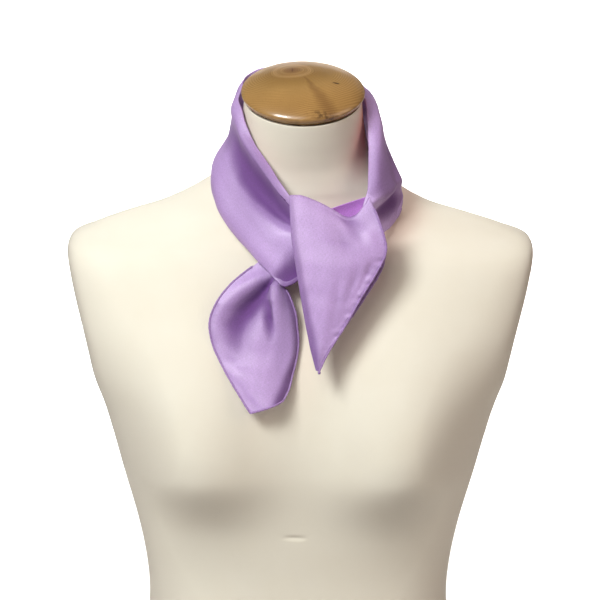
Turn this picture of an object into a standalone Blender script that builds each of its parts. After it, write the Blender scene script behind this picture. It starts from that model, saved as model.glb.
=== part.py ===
"""A silk square scarf, folded to a band and tied once round the neck of a limbless dress form.

The form stands on its flat underside, with the origin in the middle of it. +Z is up and the
form's front faces -Y. Tables are in millimetres and the meshes are in metres.
"""
import math
from collections import namedtuple

import bpy
import numpy as np

MM = 0.001
PART_NAME = "scarf_on_dress_form"

# Driving dimensions, in millimetres
CLOTH_WALL = 1.6           # the folded silk, drawn as one wall
SEAM_GAP = 1.0             # left between two stretches of the one scarf
TAIL_LAYER_GAP = 1.2       # between the two layers of the folded front tail
NECK_TILT = 18.0           # degrees that the neck's top leans forward
CAP_CENTRE = (1.3, -16.0, 641.7)
CAP_RADIUS = 51.7
CAP_DOME = 14.2            # dome above the cap's widest line
CAP_DOME_POWER = 0.66      # a lower power gives the dome a fuller shoulder
CAP_RIM = ((-0.3, -1.8), (-1.6, -3.8), (-4.5, -6.6))   # out from the radius and up, below the dome
CHEST_AT = (92.0, 346.0)   # sideways and up, the fullest point of each side of the chest
CHEST_FULLNESS = 24.0
CHEST_SPREAD = (54.0, 80.0, 38.0)   # sideways, upwards, downwards
PLATE_SWELL = 0.035        # how far the arm plate's section is overfilled before it is cut flat
PLATE_CROWN = 4.0
PLATE_HALF_DEPTH = 46.0
EDGE_SOFTNESS = 5.0
ALONG_STEP = 0.05          # rows ahead and behind, for the band's direction
FOLD_EASE = 0.3            # how far the points beside the front tail's fold are drawn to it

# Where the folds lie across the cloth, as shares of its width, and how wide they are
BAND_FOLDS = (0.15, 0.38, 0.60, 0.84)   # ridge, upper, middle and lower
TAIL_SAG = (0.68, 0.30)    # place and spread
LOWER_TROUGH = (0.34, 0.17)
LOWER_RIDGE = (0.60, 0.08)

# Points around or across each piece, and rows along it
FORM_AROUND, FORM_LEVELS = 60, 40
CAP_STEPS, CAP_DOME_POINTS = 40, 9
BAND_ACROSS = 15
WRAP_ACROSS, WRAP_ROWS = 6, 22
TAIL_ACROSS, TAIL_ROWS = 10, 26
LOWER_ACROSS, LOWER_ROWS = 15, 25

COLOURS = {
    "jersey": (0.84, 0.79, 0.67),
    "wood": (0.44, 0.25, 0.10),
    "silk": (0.42, 0.22, 0.62),
}

# Dress form: one row for each level. half_wide, front and back are where the section meets the
# axes, square is the power of its outline, plate is 1 where the arm plate cuts it flat, tilt
# leans the section forward, in degrees, and shift moves it sideways.
FormRow = namedtuple("FormRow", "up half_wide front back square plate tilt shift")
FORM_TABLE = [
    FormRow(0, 162, -97, 103, 2.25, 0, 0, 0),
    FormRow(3, 165, -100, 106, 2.25, 0, 0, 0),
    FormRow(40, 164, -100, 107, 2.30, 0, 0, 0),
    FormRow(80, 157, -98, 103, 2.35, 0, 0, 0),
    FormRow(120, 147, -93, 93, 2.35, 0, 0, 0),
    FormRow(155, 137, -87, 81, 2.35, 0, 0, 0),
    FormRow(190, 132, -84, 74, 2.35, 0, 0, 0),
    FormRow(225, 134, -86, 74, 2.35, 0, 0, 0),
    FormRow(265, 141, -91, 79, 2.40, 0, 0, 0),
    FormRow(310, 152.5, -98, 87, 2.40, 0, 0, 0),
    FormRow(350, 162, -103, 93, 2.40, 0, 0, 0),
    FormRow(380, 170, -103, 97, 2.50, 0.1, 0, 0),
    FormRow(410, 179.5, -99, 100, 2.70, 0.8, 0, 0),
    FormRow(440, 187.5, -92, 101, 2.95, 1, 0, 0),
    FormRow(470, 194.5, -83, 99, 3.10, 1, 0, 0),
    FormRow(492, 198.5, -75, 95, 3.10, 1, 0, 0),
    FormRow(504, 198.5, -70, 92, 2.90, 0.8, 0, 0),
    FormRow(512, 195, -66, 89, 2.50, 0.3, 0, 0),
    FormRow(519, 184, -63, 86, 2.05, 0, 0, -0.5),
    FormRow(526, 168, -60, 82, 1.70, 0, 0, -1.5),
    FormRow(534, 145, -58, 78, 1.55, 0, 0, -3),
    FormRow(542, 119, -56, 73, 1.55, 0, 0, -3.5),
    FormRow(550, 101, -55, 68, 1.62, 0, 1, -3),
    FormRow(558, 86.5, -54, 64, 1.75, 0, 2, -2),
    FormRow(566, 74.5, -54, 60, 1.88, 0, 4, -1),
    FormRow(576, 64.5, -54, 57, 1.97, 0, 6, 0),
    FormRow(590, 57, -55, 54, 2.00, 0, 9, 0.5),
    FormRow(606, 53, -58, 49, 2.00, 0, 14, 1),
    FormRow(621, 51, -62, 43, 2.00, 0, 18, 1.3),
    FormRow(635, 50, -66, 38, 2.00, 0, 18, 1.3),
]

# The loop of the scarf: one row for each section across the band, from the gather under the
# knot, round the right of the neck, the nape and the left, to the end behind the front tail.
# top and low are its two folded edges; ridge, upper, middle and lower are how far the cloth
# stands out from the line between them, from the top edge down; lip is how deep each edge
# turns under.
LoopRow = namedtuple(
    "LoopRow", "top_x top_y top_z low_x low_y low_z lip ridge upper middle lower")
LOOP_TABLE = [
    LoopRow(-29, -75, 514, -14, -81, 499, 0.5, 1, 1, 1, 1),
    LoopRow(-5, -76, 527, -1, -79, 504, 0.5, 1, 1, 1, 1),
    LoopRow(22, -76, 541, 25, -77, 510, 0.5, 1, 1, 1, 1),
    LoopRow(43, -75, 555, 49, -73, 518, 1, 1, 1, 2, 0),
    LoopRow(54, -72, 564, 69, -58, 531, 3, 1, 2, 4, -3),
    LoopRow(57, -62, 575, 78, -46, 536, 4, 4, 3, 6, -5),
    LoopRow(57.5, -47, 592, 86, -34, 544, 4, 5, 4, 6, -2),
    LoopRow(57.5, -28, 614, 89, -21, 551, 4, 5, 3, 3, 1),
    LoopRow(55.5, -5, 633, 87, -2, 560, 4, 4, 1, 1, 1),
    LoopRow(51, 22, 643, 79, 34, 565, 5, 4, 1, 0, 2),
    LoopRow(36, 42, 647, 54, 63, 571, 6, 4, 0, 2, 4),
    LoopRow(2, 52, 652, 2, 74, 574, 6, 4, -1, 2, 4),
    LoopRow(-33, 47, 652.5, -52, 66, 571, 6, 5, -1, 1, 4),
    LoopRow(-49, 34, 646.5, -71.5, 43, 568, 5, 5, -1, 0, 3),
    LoopRow(-51.5, 14, 638, -75.5, 18, 569, 3, 5, -1, 0, 3),
    LoopRow(-52.5, -6, 633, -76, -6, 566, 2, 5, -2, -1, 3),
    LoopRow(-49.5, -23, 627, -75.5, -27, 556, 1, 5, -3, -3, 3),
    LoopRow(-45.5, -36, 616, -69, -45, 542.5, 1.5, 6, -4, -4, 4),
    LoopRow(-39, -46, 603, -58.5, -59, 530.5, 2.5, 5, -5, -5, 5),
    LoopRow(-29, -57, 589, -46, -72, 519.5, 3, 5, -5, -5, 5),
    LoopRow(-19, -69, 576, -29.5, -88, 507, 2, 4, -4, -5, 5),
    LoopRow(-9, -79, 565, -13, -97, 495, 1, 3, -3, -4, 4),
    LoopRow(4, -83, 554, 3, -98, 503, 1, 1, -1, -2, 2),
    LoopRow(20, -85, 545, 20, -95, 510, 1, 0, 0, 0, 1),
]

# The stretches of the loop: the rows of its table that each one covers, and its own rows
Stretch = namedtuple("Stretch", "name first last rows")
STRETCHES = [
    Stretch("scarf_right_band", 0, 9, 27),
    Stretch("scarf_nape", 9, 13, 12),
    Stretch("scarf_left_band", 13, 23, 31),
]

# The stretch that goes round the crossing: rows along it, each a line across the band.
WrapRow = namedtuple("WrapRow", "left_x left_y left_z right_x right_y right_z belly")
WRAP_TABLE = [
    WrapRow(24, -87, 540, 44, -84, 538, 1),
    WrapRow(24, -91, 520, 48, -87, 521, 1),
    WrapRow(23, -91, 502, 50, -86, 507, 1),
    WrapRow(22, -85, 494, 49, -79, 500, 1),
    WrapRow(21, -77, 496, 47, -73, 501, 1),
    WrapRow(20, -72, 508, 46, -69, 512, 1),
    WrapRow(16, -68, 530, 46, -66, 534, 1),
    WrapRow(13, -69, 542, 49, -66, 552, 1),
    WrapRow(12, -71, 549.5, 51.5, -68, 561.5, 1),
]

# Front tail, folded double along its left edge: one row for each level from the knot down.
TailRow = namedtuple("TailRow", "left_x left_y left_z right_x right_y right_z sag belly show")
FRONT_TAIL_TABLE = [
    TailRow(-7, -88, 564, 55, -86, 563, 14, 0, 0),
    TailRow(-7.5, -91, 562, 58, -88, 560, 14, 1, 0),
    TailRow(-7, -96, 553, 62.5, -93, 552, 10, 3, 0),
    TailRow(-5, -103, 537, 67.5, -98, 539, 5, 4, 0),
    TailRow(-2, -108, 520, 69.5, -102, 525, 2, 4, 0),
    TailRow(1, -112, 502, 62.5, -106, 510, 0, 4, 3),
    TailRow(4.5, -116, 482, 50.5, -112, 491, 0, 3, 3),
    TailRow(8, -120, 462, 38, -117, 469, 0, 2, 1),
    TailRow(11.5, -124, 443, 24, -122, 447, 0, 1, 0),
    TailRow(14, -126, 431, 16, -126, 431, 0, 0, 0),
]

# Lower tail, one open corner of the square: rows from the gather down to the hem.
LowerRow = namedtuple(
    "LowerRow", "left_x left_y left_z right_x right_y right_z trough ridge belly")
LOWER_TAIL_TABLE = [
    LowerRow(-30, -75.5, 513, -14.5, -81.5, 498, 0, 1, 0),
    LowerRow(-37, -78, 508, -12.5, -90, 492, 2, 2, 1),
    LowerRow(-46, -83, 502, -9, -95, 484, 6, 5, 4),
    LowerRow(-58, -88, 492, -5, -98, 473, 9, 4, 6),
    LowerRow(-68, -92, 479, -3.5, -100, 462, 9, 3, 8),
    LowerRow(-74, -97, 464, -2, -102, 450, 7, 2, 9),
    LowerRow(-71.5, -103, 446, -2.5, -105, 437, 4, 1, 9),
    LowerRow(-62.5, -110, 428, -5, -109, 424, 2, 1, 8),
    LowerRow(-52.5, -117, 412, -8, -114, 412, 1, 0, 6),
    LowerRow(-40, -124, 393.5, -13, -120, 402, 0, 0, 3),
]


def remove_start_scene():
    for obj in list(bpy.data.objects):
        bpy.data.objects.remove(obj, do_unlink=True)


def make_collection():
    collection = bpy.data.collections.new(PART_NAME)
    bpy.context.scene.collection.children.link(collection)
    return collection


def make_material(name, roughness):
    material = bpy.data.materials.new(name)
    material.use_nodes = True
    shader = material.node_tree.nodes["Principled BSDF"]
    shader.inputs["Base Color"].default_value = (*COLOURS[name], 1.0)
    shader.inputs["Roughness"].default_value = roughness
    return material


def catmull_rom(table, steps):
    """Values along a smooth curve through the rows of a table, at the given row numbers."""
    rows = np.asarray(table, float)
    last = len(rows) - 1
    steps = np.clip(np.asarray(steps, float), 0.0, last)
    start = np.minimum(steps.astype(int), last - 1)
    t = (steps - start)[:, None]
    before = rows[np.maximum(start - 1, 0)]
    near, far = rows[start], rows[start + 1]
    after = rows[np.minimum(start + 2, last)]
    return 0.5 * (2 * near + (far - before) * t
                  + (2 * before - 5 * near + 4 * far - after) * t ** 2
                  + (3 * near - before - 3 * far + after) * t ** 3)


def unit(vectors):
    return vectors / np.linalg.norm(vectors, axis=-1, keepdims=True)


def soft_minimum(a, b, softness):
    """The smaller of two sizes, with a rounded change from one to the other."""
    mix = np.clip(0.5 + 0.5 * (b - a) / softness, 0.0, 1.0)
    return b * (1 - mix) + a * mix - softness * mix * (1 - mix)


def grid_faces(rows, columns, wrap=False):
    across = columns if wrap else columns - 1
    faces = []
    for i in range(rows - 1):
        for j in range(across):
            k = (j + 1) % columns
            faces.append((i * columns + j, i * columns + k,
                          (i + 1) * columns + k, (i + 1) * columns + j))
    return faces


def mesh_object(name, points, faces, material, collection):
    mesh = bpy.data.meshes.new(name)
    mesh.from_pydata([tuple(p * MM) for p in points], [], faces)
    mesh.materials.append(material)
    mesh.shade_smooth()
    obj = bpy.data.objects.new(name, mesh)
    collection.objects.link(obj)
    return obj


def cloth_object(name, grid, material, collection):
    """An open surface of rows and columns, given the cloth's wall towards its back."""
    rows, columns = grid.shape[:2]
    obj = mesh_object(name, grid.reshape(-1, 3), grid_faces(rows, columns), material, collection)
    wall = obj.modifiers.new("wall", "SOLIDIFY")
    wall.thickness = CLOTH_WALL * MM
    wall.offset = -1.0
    return obj


def chest_push(x, up):
    """How far the chest's soft fullness moves the front of the form forward."""
    side, spread_up, spread_down = CHEST_SPREAD
    spread = np.where(up > CHEST_AT[1], spread_up, spread_down)
    height = np.exp(-((up - CHEST_AT[1]) / spread) ** 2)
    width = (np.exp(-((x - CHEST_AT[0]) / side) ** 2)
             + np.exp(-((x + CHEST_AT[0]) / side) ** 2))
    return CHEST_FULLNESS * height * width


def form_section(row, around):
    """The points of one level of the dress form."""
    turn = np.linspace(0.0, 2 * math.pi, around, endpoint=False)
    cosine, sine = np.cos(turn), np.sin(turn)
    middle = 0.5 * (row.front + row.back)
    half_deep = 0.5 * (row.back - row.front)
    fill = 1 + PLATE_SWELL * row.plate
    x = row.half_wide * fill * np.sign(cosine) * np.abs(cosine) ** (2 / row.square)
    y = half_deep * np.sign(sine) * np.abs(sine) ** (2 / row.square)
    plate = row.half_wide - PLATE_CROWN * (y / PLATE_HALF_DEPTH) ** 2
    cut = np.sign(x) * soft_minimum(np.abs(x), plate, EDGE_SOFTNESS)
    x = np.where(row.plate > 0, x + (cut - x) * row.plate, x)
    tilt = math.radians(row.tilt)
    front_share = np.clip(-y / half_deep, 0.0, 1.0)
    up = row.up + y * math.sin(tilt)
    y = middle + y * math.cos(tilt) - front_share * chest_push(x, up)
    return np.stack([x + row.shift, y, up], axis=1)


def make_form(material, collection):
    levels = np.linspace(0, len(FORM_TABLE) - 1, FORM_LEVELS)
    rows = [FormRow(*values) for values in catmull_rom(FORM_TABLE, levels)]
    points = np.concatenate([form_section(row, FORM_AROUND) for row in rows])
    faces = grid_faces(FORM_LEVELS, FORM_AROUND, wrap=True)
    top_start = (FORM_LEVELS - 1) * FORM_AROUND
    faces.append(tuple(reversed(range(FORM_AROUND))))
    faces.append(tuple(range(top_start, top_start + FORM_AROUND)))
    mesh_object("form_body", points, faces, material, collection)


def make_cap(material, collection):
    """The turned cap: a half outline from the top of the dome to the middle of the foot."""
    outline = []
    for i in range(CAP_DOME_POINTS):
        out = math.sin(math.radians(90 * i / (CAP_DOME_POINTS - 1)))
        height = CAP_DOME * max(0.0, 1.0 - out ** 2) ** CAP_DOME_POWER
        outline.append((CAP_RADIUS * out, height))
    outline += [(CAP_RADIUS + out, up) for out, up in CAP_RIM]
    outline.append((0.0, CAP_RIM[-1][1]))
    mesh = bpy.data.meshes.new("neck_cap")
    edges = [(i, i + 1) for i in range(len(outline) - 1)]
    mesh.from_pydata([(x * MM, 0.0, z * MM) for x, z in outline], edges, [])
    mesh.materials.append(material)
    cap = bpy.data.objects.new("neck_cap", mesh)
    collection.objects.link(cap)
    turned = cap.modifiers.new("turned", "SCREW")
    turned.steps = CAP_STEPS
    turned.render_steps = CAP_STEPS
    turned.use_merge_vertices = True
    turned.merge_threshold = 0.00001
    turned.use_normal_calculate = True
    cap.location = [value * MM for value in CAP_CENTRE]
    cap.rotation_euler = (math.radians(NECK_TILT), 0.0, 0.0)


def band_section(row, out):
    """One section across the band: round the top fold, down over its folds, and under."""
    top = np.array([row.top_x, row.top_y, row.top_z])
    low = np.array([row.low_x, row.low_y, row.low_z])
    width = np.linalg.norm(low - top)
    down = (low - top) / width
    turn_in = min(0.5 * row.lip + 3.0, 0.12 * width + 2.0)
    folds = zip(BAND_FOLDS, (row.ridge, row.upper, row.middle, row.lower))
    shape = [(turn_in, -row.lip), (0.0, -0.35 * row.lip),
             *((place * width, stands_out) for place, stands_out in folds),
             (width, -0.35 * row.lip), (width - turn_in, -row.lip)]
    curve = catmull_rom(shape, np.linspace(0, len(shape) - 1, BAND_ACROSS))
    return top + curve[:, :1] * down + curve[:, 1:] * out


def loop_grid(stretch):
    """The band between two rows of its table, drawn back by half a gap at each seam."""
    levels = np.linspace(stretch.first, stretch.last, stretch.rows)
    rows = catmull_rom(LOOP_TABLE, levels)
    ahead = catmull_rom(LOOP_TABLE, levels + ALONG_STEP)
    behind = catmull_rom(LOOP_TABLE, levels - ALONG_STEP)
    along = unit(ahead[:, 0:3] + ahead[:, 3:6] - behind[:, 0:3] - behind[:, 3:6])
    down = unit(rows[:, 3:6] - rows[:, 0:3])
    out = unit(np.cross(down, along))
    grid = np.array([band_section(LoopRow(*row), side) for row, side in zip(rows, out)])
    if stretch.first > 0:
        grid[0] += 0.5 * SEAM_GAP * along[0]
    if stretch.last < len(LOOP_TABLE) - 1:
        grid[-1] -= 0.5 * SEAM_GAP * along[-1]
    return grid


def make_loop(material, collection):
    """The three stretches of the band that goes round the neck."""
    for stretch in STRETCHES:
        cloth_object(stretch.name, loop_grid(stretch), material, collection)


def sheet_rows(table, row_type, steps):
    levels = np.linspace(0, len(table) - 1, steps)
    return [row_type(*values) for values in catmull_rom(table, levels)]


def row_ends(row):
    left = np.array([row.left_x, row.left_y, row.left_z])
    right = np.array([row.right_x, row.right_y, row.right_z])
    return left, right


def hump(across, place_and_spread):
    """A soft rise of height 1 at one place across a sheet."""
    place, spread = place_and_spread
    return np.exp(-((across - place) / spread) ** 2)


def make_wrap(material, collection):
    across = np.linspace(0, 1, WRAP_ACROSS)
    rows = sheet_rows(WRAP_TABLE, WrapRow, WRAP_ROWS)
    lines = np.array([[*row_ends(row)] for row in rows])
    along = unit(np.gradient(lines.mean(axis=1), axis=0))
    sideways = unit(lines[:, 1] - lines[:, 0])
    out = unit(np.cross(along, sideways))
    grid = np.array([lines[i, 0] + across[:, None] * (lines[i, 1] - lines[i, 0])
                     + np.sin(math.pi * across)[:, None] * row.belly * out[i]
                     for i, row in enumerate(rows)])
    cloth_object("scarf_wrap", grid[:, ::-1], material, collection)


def front_tail_line(row, across, depth):
    """A line across one layer of the front tail, from its left fold to its right hem."""
    left, right = row_ends(row)
    line = left + across[:, None] * (right - left)
    line[:, 2] -= row.sag * hump(across, TAIL_SAG) * np.minimum(1.0, 6 * across)
    line[:, 1] += depth - row.belly * np.sin(math.pi * across)
    return line


def make_front_tail(material, collection):
    """Two layers of silk joined by the fold at the left."""
    across = np.linspace(0, 1, TAIL_ACROSS)
    lap = CLOTH_WALL + TAIL_LAYER_GAP
    grid = []
    for row in sheet_rows(FRONT_TAIL_TABLE, TailRow, TAIL_ROWS):
        front = front_tail_line(row, across, 0.0)
        back = front_tail_line(row, across, 2 * lap)
        back[:, 0] += row.show * across
        fold = 0.5 * (front[0] + back[0]) + np.array([-0.5 * lap, 0.0, 0.0])
        front[0] += (fold - front[0]) * FOLD_EASE
        back[0] += (fold - back[0]) * FOLD_EASE
        grid.append(np.concatenate([back[::-1], fold[None], front]))
    cloth_object("scarf_front_tail", np.array(grid)[:, ::-1], material, collection)


def make_lower_tail(material, collection):
    across = np.linspace(0, 1, LOWER_ACROSS)
    grid = []
    for row in sheet_rows(LOWER_TAIL_TABLE, LowerRow, LOWER_ROWS):
        left, right = row_ends(row)
        line = left + across[:, None] * (right - left)
        line[:, 1] += (row.trough * hump(across, LOWER_TROUGH)
                       - row.ridge * hump(across, LOWER_RIDGE)
                       - row.belly * np.sin(math.pi * across))
        grid.append(line)
    cloth_object("scarf_lower_tail", np.array(grid)[:, ::-1], material, collection)


def main():
    remove_start_scene()
    collection = make_collection()
    jersey = make_material("jersey", 0.85)
    wood = make_material("wood", 0.35)
    silk = make_material("silk", 0.38)
    make_form(jersey, collection)
    make_cap(wood, collection)
    make_loop(silk, collection)
    make_wrap(silk, collection)
    make_front_tail(silk, collection)
    make_lower_tail(silk, collection)


main()
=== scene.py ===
# %% [markdown]
# # A silk square tied on a dress form
# A violet silk satin square is folded on its diagonal to a band and tied once at the throat of
# a limbless dress form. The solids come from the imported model, in metres, with +Z up and the
# form's chest facing -Y. Each cell below dresses one part of it with a finer surface.

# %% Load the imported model
import math
from collections import namedtuple

import bpy
import numpy as np
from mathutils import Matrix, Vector
from mathutils.kdtree import KDTree


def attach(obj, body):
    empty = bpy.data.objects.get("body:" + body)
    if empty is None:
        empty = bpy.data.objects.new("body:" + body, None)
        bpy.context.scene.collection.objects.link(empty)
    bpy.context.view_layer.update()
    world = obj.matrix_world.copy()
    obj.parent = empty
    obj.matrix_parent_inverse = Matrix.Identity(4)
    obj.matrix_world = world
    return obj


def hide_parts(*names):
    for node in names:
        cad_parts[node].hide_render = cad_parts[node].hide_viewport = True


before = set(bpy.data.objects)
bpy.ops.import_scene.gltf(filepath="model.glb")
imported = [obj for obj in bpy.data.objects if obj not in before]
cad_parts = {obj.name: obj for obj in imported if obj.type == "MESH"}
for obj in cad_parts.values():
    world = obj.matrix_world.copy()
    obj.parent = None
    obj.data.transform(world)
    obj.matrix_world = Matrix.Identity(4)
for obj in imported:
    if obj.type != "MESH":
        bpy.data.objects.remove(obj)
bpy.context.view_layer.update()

MM = 0.001

# %% [markdown]
# ## Camera
# A long lens from a little above the chest keeps the shoulders level and the cap's top in
# sight. Its field of view is set through the focal length on a 36 mm sensor, and it leans by
# a small roll, as a hand-set tripod does.

# %% Camera
CAMERA_TARGET = (0.0, 0.0, 0.457)
CAMERA_DISTANCE = 1.9
CAMERA_ELEVATION = 15.0
CAMERA_ROLL = 0.4
CAMERA_LENS, SENSOR_WIDTH = 131.94, 36.0

elevation = math.radians(CAMERA_ELEVATION)
camera_data = bpy.data.cameras.new("camera")
camera_data.sensor_width = SENSOR_WIDTH
camera_data.lens = CAMERA_LENS
camera = bpy.data.objects.new("camera", camera_data)
bpy.context.scene.collection.objects.link(camera)
camera.location = (CAMERA_TARGET[0], -CAMERA_DISTANCE * math.cos(elevation),
                   CAMERA_TARGET[2] + CAMERA_DISTANCE * math.sin(elevation))
camera.rotation_euler = (math.pi / 2 - elevation, 0.0, 0.0)
camera.rotation_euler.rotate_axis("Z", math.radians(CAMERA_ROLL))
bpy.context.scene.camera = camera
print("camera at", [round(v, 3) for v in camera.location])

# %% [markdown]
# ## Smooth curves and grids of points
# Every surface here is a grid of points, row by row. It could be sculpted by hand, but a grid
# worked out from a few sections is easy to change. A Catmull-Rom curve passes through every row
# of a table, so a row can be read as a real place on the cloth or on the form.


# %% Curves and grids
def catmull_rom(table, steps):
    """Values along a smooth curve through the rows of a table, at the given row numbers."""
    rows = np.asarray(table, float)
    last = len(rows) - 1
    steps = np.clip(np.asarray(steps, float), 0.0, last)
    start = np.minimum(steps.astype(int), last - 1)
    t = (steps - start)[:, None]
    before = rows[np.maximum(start - 1, 0)]
    near, far = rows[start], rows[start + 1]
    after = rows[np.minimum(start + 2, last)]
    return 0.5 * (2 * near + (far - before) * t
                  + (2 * before - 5 * near + 4 * far - after) * t ** 2
                  + (3 * near - before - 3 * far + after) * t ** 3)


def unit(vectors):
    """The same directions, each one long."""
    return vectors / np.maximum(np.linalg.norm(vectors, axis=-1, keepdims=True), 1e-9)


def grid_faces(rows, columns, wrap=False):
    """Four-sided faces over a grid of points, joined round where the grid wraps."""
    faces = []
    for i in range(rows - 1):
        for j in range(columns if wrap else columns - 1):
            k = (j + 1) % columns
            faces.append((i * columns + j, i * columns + k,
                          (i + 1) * columns + k, (i + 1) * columns + j))
    return faces


def walk(points, axis):
    """Distance walked along one axis of a grid of points."""
    steps = np.linalg.norm(np.diff(points, axis=axis), axis=-1)
    start = np.zeros_like(np.take(steps, [0], axis=axis))
    return np.concatenate([start, np.cumsum(steps, axis=axis)], axis=axis)


print("half way up an arch", catmull_rom([(0, 0), (1, 2), (2, 0)], [0.5])[0])

# %% [markdown]
# ## Meshes and cloth
# A grid becomes a mesh with a UV map that holds the distance along and across the cloth in
# metres, so the weave keeps its size where the cloth bends. Each point also keeps how deep it
# lies in a fold. That could be painted on, but it is the difference between the sheet and a
# smoothed copy of itself, so it can be measured. With painted shade lines added, this value
# paints shade into the silk's colour. A Solidify modifier gives the sheet its wall.

# %% Mesh and cloth helpers
SILK_WALL = 0.6
DEPTH_REACH, DEEP_FOLD = 10.0, 3.2     # how far the smoothed copy looks, and a fold's full depth


def mesh_piece(name, points, faces, material, uv=None, fold_shade=None):
    """A smooth mesh from points in millimetres, with a UV and a painted shade value for each point.
    """
    mesh = bpy.data.meshes.new(name)
    mesh.from_pydata([tuple(p * MM) for p in points], [], faces)
    mesh.materials.append(material)
    mesh.shade_smooth()
    if uv is not None:
        layer = mesh.uv_layers.new(name="cloth")
        loops = np.empty(len(mesh.loops), dtype=int)
        mesh.loops.foreach_get("vertex_index", loops)
        layer.data.foreach_set("uv", (np.asarray(uv) * MM)[loops].ravel())
    if fold_shade is not None:
        mesh.attributes.new("fold_shade", "FLOAT", "POINT").data.foreach_set("value", fold_shade)
    piece = bpy.data.objects.new(name, mesh)
    bpy.context.scene.collection.objects.link(piece)
    return piece


def spread_out(values, reach, axis):
    """A moving mean along one axis of a grid, over twice the reach in points."""
    ends = [(reach, reach) if k == axis else (0, 0) for k in range(values.ndim)]
    total = np.cumsum(np.pad(values, ends, mode="edge"), axis=axis)
    total = np.concatenate([np.zeros_like(np.take(total, [0], axis=axis)), total], axis=axis)
    size = values.shape[axis]
    window = 2 * reach + 1
    return (np.take(total, np.arange(window, window + size), axis=axis)
            - np.take(total, np.arange(size), axis=axis)) / window


def surface_normals(grid):
    """The outward direction at each point of a grid whose faces are read as mesh_piece does."""
    return unit(np.cross(np.gradient(grid, axis=1), np.gradient(grid, axis=0)))


def fold_depth(grid):
    """How deep each point lies under its surroundings, from 0 on open cloth to 1 in a fold."""
    rows, columns = grid.shape[:2]
    steps = (walk(grid, 0)[-1].mean() / rows, walk(grid, 1)[:, -1].mean() / columns)
    around = grid
    for axis in (0, 1, 0, 1):
        around = spread_out(around, max(1, int(DEPTH_REACH / steps[axis])), axis)
    sunk = ((around - grid) * surface_normals(grid)).sum(axis=-1)
    return np.clip(sunk / DEEP_FOLD, 0.0, 1.0)


def cloth_piece(name, grid, material, shade=0.0):
    """A sheet of cloth from a grid of points, its wall laid towards the back."""
    rows, columns = grid.shape[:2]
    along = walk(grid, 0).mean(axis=1, keepdims=True) + 0 * walk(grid, 1)
    uv = np.stack([along, walk(grid, 1)], axis=-1).reshape(-1, 2)
    # painted shade: how deep the point lies in a fold, plus the painted shade lines, softly capped
    fold_shade = np.tanh(fold_depth(grid) + shade).ravel()
    piece = mesh_piece(name, grid.reshape(-1, 3), grid_faces(rows, columns), material, uv, fold_shade)
    wall = piece.modifiers.new("wall", "SOLIDIFY")
    wall.thickness = SILK_WALL * MM
    wall.offset = -1.0
    return piece


print("cloth wall", SILK_WALL, "mm")

# %% [markdown]
# ## Materials
# A shader is a small tree of nodes, and could be laid out by hand in the shader editor. These
# helpers add a node with its settings in one line and set its inputs by name, so that each
# material below reads as a list of what it is made of.


# %% Node helpers
def add_node(tree, kind, inputs=None, **settings):
    """A node with its settings, each input linked to a socket or set to a value."""
    node = tree.nodes.new(kind)
    for key, value in settings.items():
        setattr(node, key, value)
    for key, value in (inputs or {}).items():
        if isinstance(value, bpy.types.NodeSocket):
            tree.links.new(value, node.inputs[key])
        else:
            node.inputs[key].default_value = value
    return node


def linear(red, green, blue):
    """A colour as a screen shows it, 0 to 255, in the linear values that shaders use."""
    return tuple(((c / 255 + 0.055) / 1.055) ** 2.4 if c > 10 else c / 255 / 12.92
                 for c in (red, green, blue)) + (1.0,)


def new_material(name, **constants):
    """A material with constants on its shader's own sockets, and its tree and shader."""
    material = bpy.data.materials.new(name)
    material.use_nodes = True
    shader = material.node_tree.nodes["Principled BSDF"]
    for key, value in constants.items():
        shader.inputs[key.replace("_", " ")].default_value = value
    return material, material.node_tree, shader


def blend_colours(tree, factor, first, second, blend_type="MIX"):
    mix = add_node(tree, "ShaderNodeMix", data_type="RGBA", blend_type=blend_type)
    for socket, value in ((mix.inputs[0], factor), (mix.inputs[6], first), (mix.inputs[7], second)):
        if isinstance(value, bpy.types.NodeSocket):
            tree.links.new(value, socket)
        else:
            socket.default_value = value
    return mix.outputs[2]


def ramp(tree, factor, *stops):
    node = add_node(tree, "ShaderNodeValToRGB", {"Fac": factor})
    elements = node.color_ramp.elements
    while len(elements) < len(stops):
        elements.new(0.5)
    for element, (place, colour) in zip(elements, stops):
        element.position = place
        element.color = colour
    return node.outputs["Color"]


def tinted(tree, base, factor, low, high, share=1.0):
    """The base multiplied by a tone that runs from low to high, each a place and a colour."""
    tone = ramp(tree, factor, *((place, (*colour, 1.0)) for place, colour in (low, high)))
    return blend_colours(tree, share, base, tone, "MULTIPLY")


def noise(tree, place, scale, detail):
    return add_node(tree, "ShaderNodeTexNoise",
                    {"Vector": place, "Scale": scale, "Detail": detail}).outputs["Fac"]


def attribute(tree, name):
    return add_node(tree, "ShaderNodeAttribute", attribute_name=name).outputs["Fac"]


def math_node(tree, operation, *values):
    return add_node(tree, "ShaderNodeMath", dict(enumerate(values)),
                    operation=operation).outputs["Value"]


def map_range(tree, value, low, high, to_low=0.0, to_high=1.0, kind="LINEAR"):
    return add_node(tree, "ShaderNodeMapRange",
                    {"Value": value, "From Min": low, "From Max": high, "To Min": to_low,
                     "To Max": to_high}, interpolation_type=kind).outputs["Result"]


def add_bump(tree, shader, height, strength, distance):
    bump = add_node(tree, "ShaderNodeBump",
                    {"Height": height, "Strength": strength, "Distance": distance})
    tree.links.new(bump.outputs["Normal"], shader.inputs["Normal"])


print("white is", linear(255, 255, 255))
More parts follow.
